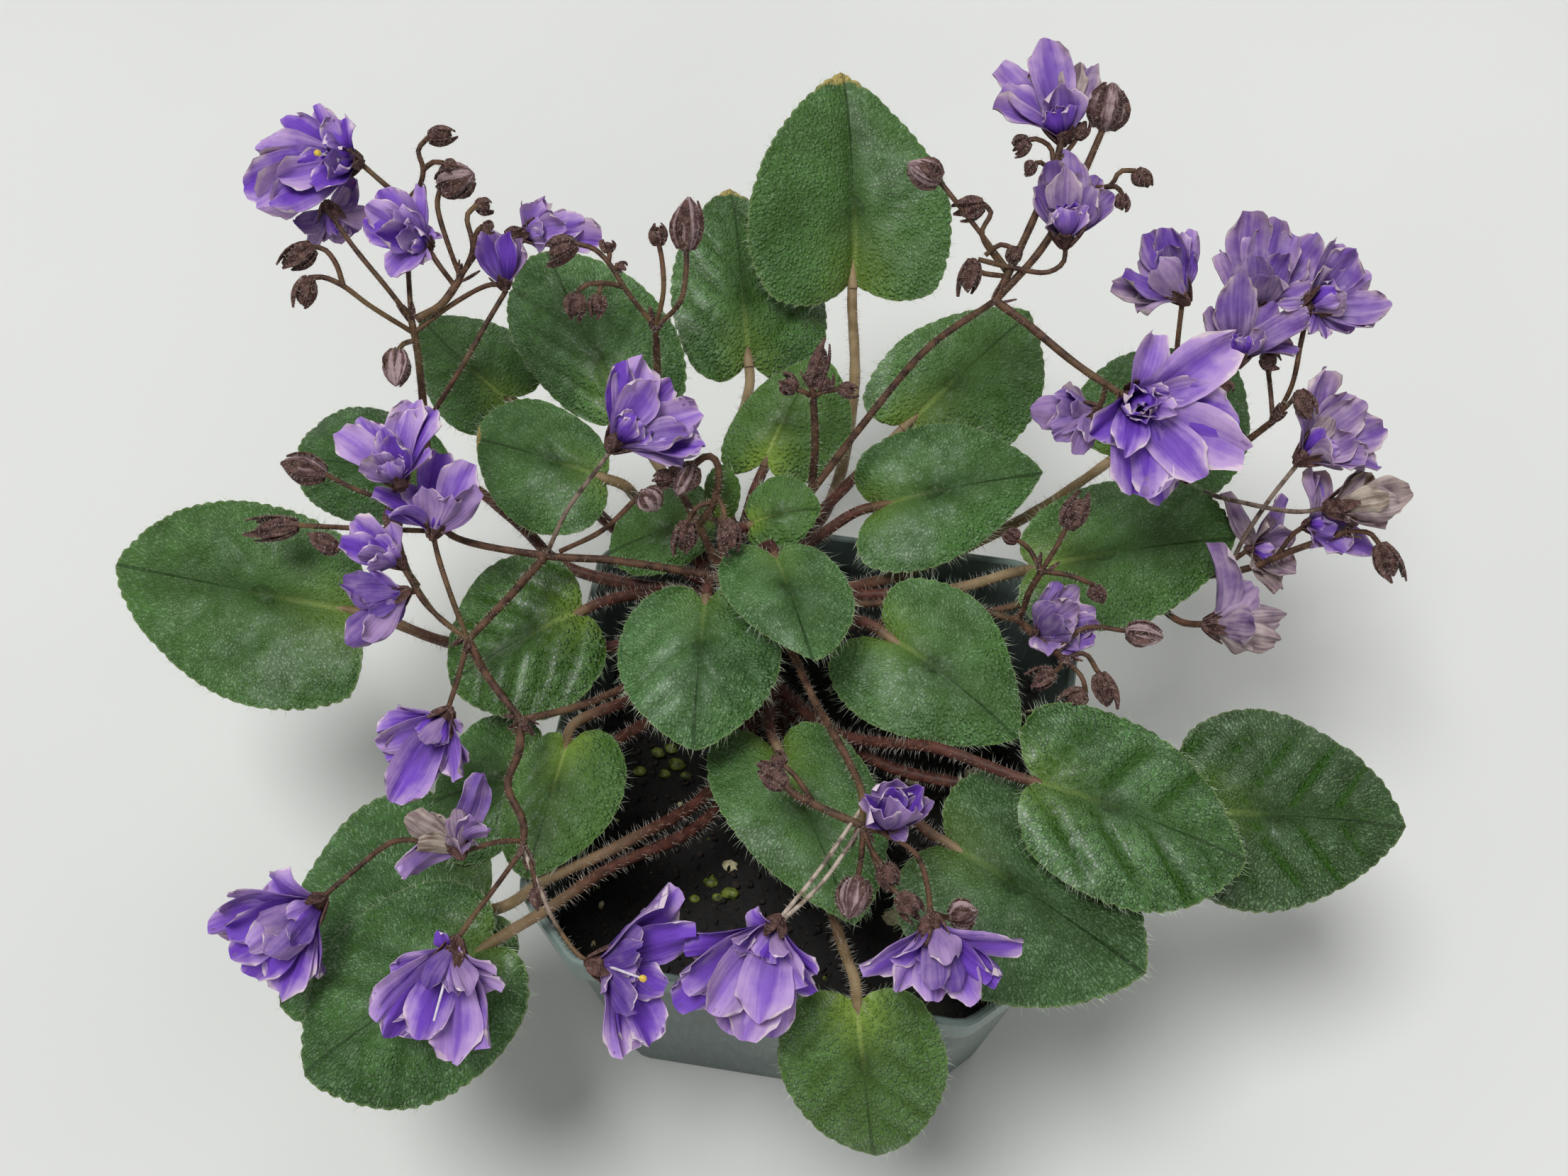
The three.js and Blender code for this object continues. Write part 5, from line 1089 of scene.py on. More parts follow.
# shares of a bud's length with shares of its half width, and the width in millimetres from
# which a bud shows its furled petals
BUD_PROFILE = ((-0.04, 0.2), (0.06, 0.6), (0.22, 0.9), (0.42, 0.98), (0.62, 0.82), (0.8, 0.5),
               (0.93, 0.1))
BIG_BUD = 5.2
BUD_FULLNESS = 0.46
BRACT_LENGTH = 3.6 * MM
BRACT_WIDTH = 1.3 * MM
BRACT_RADIUS = 1.1 * MM
BRACT_FLARE = 1.6 * MM
# the way of each spray's main stalks, and of the thinner ones that carry flowers and buds, and
# each bud's neck, tip and width in millimetres
SPRAYS = {
    "spray_left": ([
        [(998, 810, 101.3), (930, 800, 103), (860, 790, 104), (770, 784, 105), (640, 757, 109),
         (618, 735, 110)],
        [(618, 735, 110), (604, 650, 113), (596, 560, 121), (588, 490, 128), (580, 450, 132)],
        [(770, 784, 105), (720, 840, 106), (660, 903, 107)],
        [(660, 903, 107), (685, 950, 104), (735, 1016, 101)],
        [(1000, 872, 92), (940, 935, 92), (890, 965, 94), (820, 995, 98), (735, 1016, 101)],
        [(735, 1016, 101), (732, 1060, 101), (716, 1108, 101), (738, 1160, 101), (738, 1197, 101)],
        [(588, 450, 132), (622, 430, 134), (650, 392, 136)],
    ], [
        [(580, 450, 132), (545, 405, 136), (500, 350, 139), (466, 302, 141)],
        [(584, 470, 130), (520, 430, 136), (482, 402, 139), (455, 391, 140), (436, 392, 140)],
        [(484, 402, 139), (474, 372, 141), (458, 352, 142), (442, 348, 142)],
        [(580, 450, 132), (577, 400, 134), (574, 340, 135), (573, 284, 141)],
        [(573, 284, 141), (545, 262, 144), (506, 228, 146)],
        [(573, 284, 141), (592, 262, 144), (597, 238, 147), (590, 212, 149), (604, 194, 149)],
        [(597, 240, 147), (610, 229, 148), (626, 230, 149)],
        [(642, 404, 135.4), (618, 372, 138), (604, 350, 139)],
        [(650, 392, 136), (634, 350, 140), (617, 290, 143), (622, 262, 143)],
        [(650, 392, 136), (667, 350, 140), (659, 304, 143), (672, 290, 143)],
        [(667, 350, 140), (672, 328, 142), (681, 319, 143)],
        [(584, 470, 130), (640, 428, 133), (690, 402, 133), (712, 402, 133)],
        [(586, 480, 129), (568, 486, 131), (560, 498, 131)],
        [(600, 600, 117.5), (650, 520, 126), (690, 450, 130), (714, 410, 132)],
        [(644, 400, 135.5), (672, 358, 134), (690, 340, 133), (712, 333, 132)],
        [(660, 903, 107), (616, 868, 108), (574, 800, 107), (558, 740, 110), (554, 704, 116),
         (563, 682, 123)],
        [(660, 903, 107), (636, 840, 111), (618, 785, 114), (611, 755, 116)],
        [(660, 903, 107), (600, 852, 110), (578, 816, 112), (567, 798, 113)],
        [(590, 826, 108), (566, 790, 108), (556, 756, 110)],
        [(588, 834, 111), (574, 837, 111.5)],
        [(660, 903, 107), (648, 950, 107), (630, 1006, 107)],
        [(770, 784, 105), (800, 720, 112), (840, 665, 118), (866, 630, 122)],
        [(790, 778, 105), (850, 748, 110), (893, 708, 115), (908, 692, 117)],
        [(738, 1186, 101), (700, 1188, 103), (650, 1203, 104)],
        [(650, 1203, 104), (560, 1186, 101), (500, 1228, 98), (450, 1270, 97)],
        [(738, 1197, 101), (700, 1250, 101), (662, 1300, 101), (642, 1330, 101)],
        [(738, 1197, 101), (760, 1250, 101), (785, 1305, 101), (820, 1350, 101), (840, 1358, 101)],
        [(748, 1215, 101), (754, 1240, 101), (756, 1252, 101)],
        [(630, 750, 109.5), (500, 745, 107), (440, 742, 104), (420, 741, 103)],
        [(618, 735, 110), (540, 705, 109), (490, 685, 107), (458, 668, 106)],
        [(504, 745, 107), (490, 768, 106), (475, 775, 105)],
    ], [
        ((436, 392, 140), (424, 432, 139), 4.2), ((442, 348, 142), (402, 376, 141), 5),
        ((604, 194, 149), (640, 190, 149), 4), ((626, 230, 149), (642, 238, 148), 2.6),
        ((622, 262, 143), (672, 244, 147), 7.5), ((672, 290, 143), (692, 292, 141), 3.2),
        ((681, 319, 143), (697, 322, 142), 2.4), ((712, 333, 132), (740, 330, 132), 3.4),
        ((560, 496, 131), (558, 548, 131), 5.4), ((908, 692, 117), (930, 722, 114), 5.6),
        ((556, 756, 110), (552, 716, 112), 3.6), ((756, 1252, 101), (762, 1280, 99), 3),
        ((420, 741, 103), (356, 748, 102), 4.6), ((458, 668, 106), (392, 652, 106), 6.2),
        ((475, 775, 105), (440, 758, 104), 4),
    ]),
    "spray_top": ([
        [(1012, 796, 100.6), (985, 740, 106), (955, 680, 108), (936, 600, 112), (928, 530, 120),
         (925, 462, 131)],
        [(985, 740, 106), (1004, 715, 112), (1014, 680, 116), (1010, 650, 119), (998, 643, 120),
         (978, 656, 119)],
    ], [
        [(925, 462, 131), (885, 412, 137), (858, 370, 140), (836, 350, 141), (812, 344, 141)],
        [(880, 405, 137), (858, 400, 139), (826, 402, 140), (814, 414, 139)],
        [(858, 370, 140), (860, 360, 141), (859, 356, 141)],
        [(866, 382, 139), (870, 377, 140), (871, 373, 140)],
        [(850, 401, 139), (846, 408, 139), (845, 416, 138)],
        [(925, 462, 131), (936, 410, 138), (934, 368, 141), (929, 342, 143)],
        [(925, 462, 131), (960, 425, 137), (968, 380, 140), (968, 348, 142)],
        [(1004, 708, 113), (984, 715, 113), (970, 736, 111)],
        [(1012, 700, 114), (1020, 716, 114), (1024, 736, 113)],
        [(978, 656, 119), (962, 668, 118), (952, 672, 117)],
    ], [
        ((812, 344, 141), (772, 360, 139), 5), ((814, 414, 139), (808, 448, 137), 4.2),
        ((859, 356, 141), (856, 340, 142), 2.8), ((871, 373, 140), (880, 380, 139), 2.4),
        ((845, 416, 138), (840, 446, 136), 3.6), ((929, 346, 142), (927, 318, 145), 3.6),
        ((968, 352, 141), (972, 272, 148), 6.4), ((970, 736, 111), (962, 780, 107), 4.6),
        ((1024, 736, 113), (1034, 776, 113), 4.2), ((978, 656, 119), (952, 702, 115), 5.4),
        ((952, 672, 117), (922, 680, 116), 3.6),
    ]),
    "spray_upper_right": ([
        [(1052, 810, 98), (1100, 748, 98), (1145, 693, 101), (1220, 595, 110), (1310, 490, 120),
         (1404, 424, 128)],
        [(1145, 693, 101), (1150, 620, 110), (1146, 545, 118)],
        [(1404, 424, 128), (1430, 370, 132), (1462, 300, 137), (1488, 235, 141), (1498, 196, 143)],
        [(1404, 424, 128), (1470, 350, 133), (1522, 258, 138), (1556, 182, 142)],
        [(1404, 424, 128), (1450, 458, 128), (1520, 515, 127), (1590, 562, 125)],
    ], [
        [(1420, 390, 130), (1380, 382, 132), (1374, 366, 133)],
        [(1420, 385, 130), (1385, 330, 135), (1398, 300, 137), (1388, 288, 137)],
        [(1422, 380, 131), (1378, 322, 135), (1345, 280, 138), (1326, 256, 139)],
        [(1380, 366, 133), (1430, 378, 132), (1478, 384, 133), (1500, 370, 134), (1503, 340, 136)],
        [(1486, 240, 141), (1482, 208, 143), (1462, 196, 144), (1452, 197, 144)],
        [(1480, 250, 140), (1472, 230, 142), (1460, 230, 142)],
        [(1520, 262, 138), (1566, 262, 140), (1580, 242, 142), (1602, 241, 142)],
        [(1560, 264, 140), (1576, 264, 141), (1583, 274, 140)],
        [(1560, 545, 126), (1554, 568, 122.5), (1548, 577, 121)],
        [(1146, 560, 116), (1132, 552, 118), (1124, 550, 118)],
        [(1146, 560, 116), (1162, 552, 118), (1184, 549, 118)],
        [(1490, 230, 141.2), (1510, 208, 142), (1518, 196, 142)],
        [(1390, 360, 133), (1412, 345, 135), (1428, 350, 135)],
    ], [
        ((1374, 366, 133), (1362, 414, 129), 4.2), ((1388, 288, 137), (1350, 298, 136), 4.6),
        ((1326, 256, 139), (1278, 228, 141), 6.4), ((1428, 350, 135), (1434, 372, 132), 3.4),
        ((1452, 197, 144), (1430, 212, 142), 3.8), ((1460, 230, 142), (1446, 244, 141), 2.8),
        ((1602, 241, 142), (1620, 262, 140), 3.8), ((1583, 274, 140), (1583, 296, 139), 3),
        ((1556, 182, 142), (1572, 112, 148), 8.6), ((1146, 545, 118), (1164, 488, 122), 4),
        ((1124, 550, 118), (1102, 536, 119), 3.8), ((1160, 552, 118), (1168, 530, 120), 3.4),
        ((1184, 549, 118), (1208, 552, 117), 3), ((1518, 196, 142), (1530, 172, 144), 3.6),
    ]),
    "spray_right": ([
        [(1087, 906, 79.5), (1200, 884, 80), (1400, 862, 81.5), (1500, 832, 82.6),
         (1590, 790, 82.6)],
        [(1590, 790, 82.6), (1640, 740, 82.8), (1668, 686, 84.8), (1735, 640, 96.5),
         (1796, 594, 106)],
        [(1590, 790, 82.6), (1680, 812, 83), (1760, 802, 86), (1820, 778, 91), (1900, 750, 97)],
        [(1590, 790, 82.6), (1640, 858, 82), (1668, 878, 84), (1702, 881, 87)],
    ], [
        [(1668, 686, 84.8), (1658, 600, 100), (1660, 500, 111), (1668, 424, 119)],
        [(1796, 594, 106), (1790, 530, 108), (1782, 480, 110), (1774, 436, 115)],
        [(1796, 594, 106), (1822, 545, 112), (1836, 480, 118), (1846, 438, 121)],
        [(1735, 640, 96.5), (1712, 570, 106), (1722, 525, 112), (1748, 508, 114)],
        [(1668, 686, 84.8), (1740, 706, 95), (1830, 722, 99), (1874, 716, 101)],
        [(1740, 790, 85), (1752, 764, 88), (1790, 706, 97), (1836, 648, 104)],
        [(1900, 750, 97), (1932, 752, 99), (1946, 768, 98)],
        [(1800, 786, 89), (1826, 752, 93), (1842, 742, 95)],
        [(1740, 790, 85), (1760, 776, 87)],
        [(1706, 560, 107), (1716, 538, 110), (1726, 538, 110)],
        [(1800, 588, 107), (1820, 568, 111), (1832, 552, 114)],
        [(1790, 530, 108), (1790, 516, 111), (1780, 502, 114)],
    ], [
        ((1946, 768, 98), (1968, 816, 94), 5), ((1726, 538, 110), (1736, 552, 109), 2.6),
        ((1832, 552, 114), (1850, 586, 113), 4.2), ((1780, 502, 114), (1802, 514, 113), 4.2),
    ]),
    "spray_near_right": ([
        [(1078, 848, 95), (1200, 852, 91.8), (1360, 852, 90.5), (1434, 872, 92), (1452, 835, 97),
         (1469, 806, 102)],
        [(1434, 872, 92), (1470, 905, 95), (1500, 930, 97)],
    ], [
        [(1469, 806, 102), (1490, 772, 105), (1504, 745, 107)],
        [(1469, 806, 102), (1452, 775, 103), (1436, 762, 102)],
        [(1469, 806, 102), (1510, 812, 103), (1545, 826, 102)],
        [(1490, 920, 96), (1530, 886, 97), (1590, 890, 97)],
        [(1500, 930, 97), (1530, 922, 98), (1550, 950, 96)],
        [(1500, 930, 97), (1526, 955, 97), (1532, 978, 95)],
        [(1500, 930, 97), (1496, 940, 96), (1488, 948, 95)],
    ], [
        ((1504, 745, 107), (1528, 700, 111), 5), ((1436, 762, 102), (1418, 750, 102), 3.6),
        ((1545, 826, 102), (1550, 850, 100), 3.6), ((1590, 890, 97), (1645, 900, 96), 5.4),
        ((1550, 950, 96), (1568, 996, 93), 4.6), ((1532, 978, 95), (1500, 994, 93), 4.4),
        ((1488, 948, 95), (1455, 962, 94), 4),
    ]),
    "spray_front": ([
        [(1053, 863, 93), (1108, 908, 95), (1150, 990, 98), (1195, 1070, 101), (1216, 1120, 103),
         (1216, 1165, 103)],
        [(1216, 1165, 103), (1160, 1140, 103), (1120, 1120, 104), (1108, 1108, 104)],
    ], [
        [(1150, 1136, 103), (1122, 1095, 105), (1106, 1080, 105)],
        [(1216, 1165, 103), (1236, 1172, 103), (1252, 1170, 103)],
        [(1216, 1140, 103), (1150, 1235, 104), (1100, 1296, 104)],
        [(1216, 1165, 103), (1160, 1245, 103), (1100, 1302, 104)],
        [(1216, 1165, 103), (1216, 1200, 103), (1210, 1240, 104)],
        [(1216, 1165, 103), (1230, 1200, 103), (1244, 1220, 103)],
        [(1216, 1165, 103), (1250, 1245, 102), (1268, 1262, 102)],
        [(1240, 1172, 103), (1292, 1205, 104), (1310, 1260, 105), (1312, 1300, 106)],
        [(1311, 1286, 105.5), (1330, 1293, 104), (1342, 1296, 103)],
    ], [
        ((1108, 1108, 104), (1072, 1084, 104), 4.4), ((1106, 1080, 105), (1090, 1066, 105), 3.4),
        ((1210, 1240, 104), (1196, 1300, 104), 6.6), ((1244, 1220, 103), (1262, 1250, 102), 4.2),
        ((1268, 1262, 102), (1296, 1292, 101), 4.2), ((1340, 1296, 103), (1382, 1284, 103), 5.4),
    ]),
}
# how dry some of the thinner stalks are at their start and end, by their place in the list
DRY_STALKS = {
    "spray_front": {2: (1, 1), 3: (1, 1)}, "spray_left": {21: (0.2, 0.5), 26: (1.3, -0.5)},
    "spray_right": {4: (0.4, 0.3), 5: (0.35, 0.4)},
}

stalk_skin, tree = start_material("stalk_skin")
stalk_cloud = tree.mottle(420, 4)
tree.surface({
    "Base Color": layered(
        stalk_cloud.shades((48, 30, 22), (98, 70, 52)),
        (tree.mottle(70).rise(0.5, 0.75) * 0.5, (126, 106, 68)),
        (tree.attribute("dry") * (0.25 + stalk_cloud.rise(0.35, 0.6) * 0.75), (184, 170, 156)),
    ),
    "Roughness": 0.45 + stalk_cloud * 0.2,
    "Specular IOR Level": 0.25,
    "Normal": tree.relief(stalk_cloud, 0.0002),
})

bud_skin, tree = start_material("bud_skin")
bud_cloud = tree.mottle(700, 4)
bud_fuzz = tree.mottle(2500, 3)
bud_streak = tree.mottle(3.0, 3, tree.attribute("spoke", "Vector"))
husk = layered(
    bud_cloud.shades((54, 33, 31), (104, 76, 70)),
    (bud_fuzz.rise(0.55, 0.7) * 0.45, (172, 150, 140)),
)
furled = (bud_streak + (bud_cloud - 0.5) * 0.4).shades(
    (88, 62, 62), (168, 144, 146), 0.38, 0.62)
tree.surface({
    "Base Color": tree.attribute("petal").blend(husk, furled),
    "Roughness": 0.6 + bud_cloud * 0.2,
    "Specular IOR Level": 0.2,
    "Normal": tree.relief(bud_cloud * 0.6 + bud_fuzz * 0.4, 0.0004),
})


class Parts:
    """Points, faces and point values of many small parts that make one mesh"""

    def __init__(self):
        self.points, self.faces, self.values, self.slots = [], [], {}, []

    def add(self, points, faces, values, slot=0):
        shift = len(self.points)
        self.points += [tuple(point) for point in points]
        self.faces += [tuple(shift + index for index in face) for face in faces]
        self.slots += [slot] * len(faces)
        for key, numbers in values.items():
            numbers = np.broadcast_to(numbers, (len(points), *np.shape(numbers)[1:]))
            self.values.setdefault(key, []).extend(np.array(numbers).tolist())

    def piece(self, name, materials):
        return make_piece(name, self.points, self.faces, materials, self.values, self.slots)


def across_axes(axis):
    """Two directions square to an axis"""
    helper = np.array([0.0, 0.0, 1.0]) if abs(axis[2]) < 0.9 else np.array([1.0, 0.0, 0.0])
    first = unit(np.cross(axis, helper))
    return first, np.cross(axis, first)


def spoke_at(axes, around):
    """The direction at an angle, from two directions square to an axis"""
    return axes[0] * math.cos(around) + axes[1] * math.sin(around)


def add_spindle(parts, start, axis, length, profile, sides, values, ridges=0.0, slot=0):
    """A closed spindle along an axis: profile lists shares of the length with their radii"""
    axes = across_axes(axis)
    points, spokes = [], []
    for share, radius in profile:
        for side in range(sides):
            around = math.tau * side / sides
            here = radius * (1 + ridges * math.cos(5 * around))
            points.append(start + axis * length * share + spoke_at(axes, around) * here)
            spokes.append((math.cos(around) + length * 3000, math.sin(around), 0.35 * share))
    shares = np.repeat([share for share, _ in profile], sides)
    parts.add(points, loft_faces(len(profile), sides),
              {"way": shares, "spoke": spokes, **values}, slot)


def add_strip(parts, centres, sideway, normal, widths, values, slot=0):
    """A thin pointed strip such as a sepal or bract, keeled along its middle"""
    rows = len(centres)
    grid = []
    for lift in (SEPAL_THICKNESS / 2, -SEPAL_THICKNESS / 2):
        for centre, width in zip(centres, widths):
            for across in (-1, 0, 1):
                keel = 0.25 * width * (abs(across) - 1)
                grid.append(centre + sideway * across * width / 2 + normal * (lift + keel))
    faces = []
    half = 3 * rows
    for row in range(rows - 1):
        for column in (0, 1):
            low = 3 * row + column
            faces.append((low, low + 1, low + 4, low + 3))
            faces.append((half + low, half + low + 3, half + low + 4, half + low + 1))
        for column, flip in ((0, False), (2, True)):
            low = 3 * row + column
            wall = (low, low + 3, half + low + 3, half + low)
            faces.append(wall[::-1] if flip else wall)
    for low, flip in ((0, True), (3 * (rows - 1), False)):
        for column in (0, 1):
            wall = (low + column, half + low + column, half + low + column + 1, low + column + 1)
            faces.append(wall[::-1] if flip else wall)
    shares = np.tile(np.repeat(np.linspace(0, 1, rows), 3), 2)
    parts.add(grid, faces, {"way": shares, "spoke": np.zeros((1, 3)), **values}, slot)


def add_sepals(parts, start, axis, length, width, radius, flare, seed, values, count=5, slot=0):
    """Pointed sepals round an axis that hug a bud, or spread behind a bloom"""
    axes = across_axes(axis)
    for index in range(count):
        around = math.tau * (index + 0.3 * math.sin(seed + 2 * index)) / count + seed
        spoke = spoke_at(axes, around)
        reach = length * (1 + 0.15 * math.sin(3 * seed + 5 * index))
        centres, widths = [], []
        for share in SEPAL_SHARES:
            bulge = radius * math.sin(math.pi * min(1, 0.18 + 0.62 * share)) + flare * share ** 2
            centres.append(start + axis * reach * share + spoke * bulge)
            widths.append(width * (math.sin(math.pi * (0.15 + 0.8 * share)) + 0.05))
        add_strip(parts, centres, np.cross(axis, spoke), spoke, widths, values, slot)


def add_bud(parts, neck, tip, width, seed):
    """A closed bud: furled petals held by five hairy sepals"""
    start = seen(neck)
    axis = seen(tip) - start
    length = np.linalg.norm(axis)
    axis = unit(axis)
    full = BUD_FULLNESS * width * MM
    draw = np.random.RandomState(int(10 * seed))
    big = float(width > BIG_BUD)
    profile = [(share, radius * full) for share, radius in BUD_PROFILE]
    add_spindle(parts, start, axis, length, profile, 10, {"petal": big}, 0.12)
    add_sepals(parts, start, axis, length * (0.78 if big else 1.02), 0.95 * full, 1.06 * full,
               draw.uniform(-0.3, 0.45) * full, seed, {"petal": 0.0})


for order, (spray_name, (peduncles, pedicels, buds)) in enumerate(SPRAYS.items()):
    stems = []
    for route in peduncles:
        route = smooth_route([seen(place) for place in route], STALK_STEP)
        ends = {"dry": (0, 0), "downy": (1, 1)}
        stems.append((route, PEDUNCLE_RADIUS, PEDUNCLE_END_RADIUS, ends))
    for index, route in enumerate(pedicels):
        dried = DRY_STALKS.get(spray_name, {}).get(index, (0, 0))
        route = smooth_route([seen(place) for place in route], STALK_STEP)
        radius = PEDICEL_RADIUS * (1 - DRY_SHRINK * min(1, max(dried)))
        stems.append((route, radius, radius, {"dry": dried, "downy": (1, 1)}))
    stalks = make_stems(spray_name + "_stalks", stems, STALK_SIDES, stalk_skin)
    keep_piece(stalks, "stalk", spray_name)
    grow_hairs(spray_name + "_hairs", stalks.data, "stalk", stem_hair, per_metre=1500000,
               length=0.95 * MM, width=0.06 * MM, lean=0.4, seed=order)
    parts = Parts()
    for index, (neck, tip, width) in enumerate(buds):
        add_bud(parts, neck, tip, width, 1.7 * index + order)
    for index, route in enumerate(peduncles):
        joint, before = seen(route[-1]), seen(route[-2])
        axis = unit(joint - before)
        add_sepals(parts, joint - axis * 0.5 * MM, axis, BRACT_LENGTH, BRACT_WIDTH, BRACT_RADIUS,
                   BRACT_FLARE, index + 0.4, {"petal": 0.0}, count=3)
    bud_piece = parts.piece(spray_name + "_buds", [bud_skin])
    keep_piece(bud_piece, "stalk")
    downy = bud_piece.data.copy()
    write_values(downy, {"downy": 1.0})
    grow_hairs(spray_name + "_bud_hairs", downy, "stalk", stem_hair, per_metre=1600000,
               length=0.8 * MM, width=0.06 * MM, lean=0.5, seed=order + 20)

# Blooms: double flowers of thin soft petals in layers round a small heart, deep violet at their
# bases, lilac to white at their ruffled edges, greyer behind, with brown sepals at the back.
CLOSED_BELOW = 30
CUPPED_BELOW = 50
HEART_PETALS = 7
STALK_SEAT = 1.0 * MM
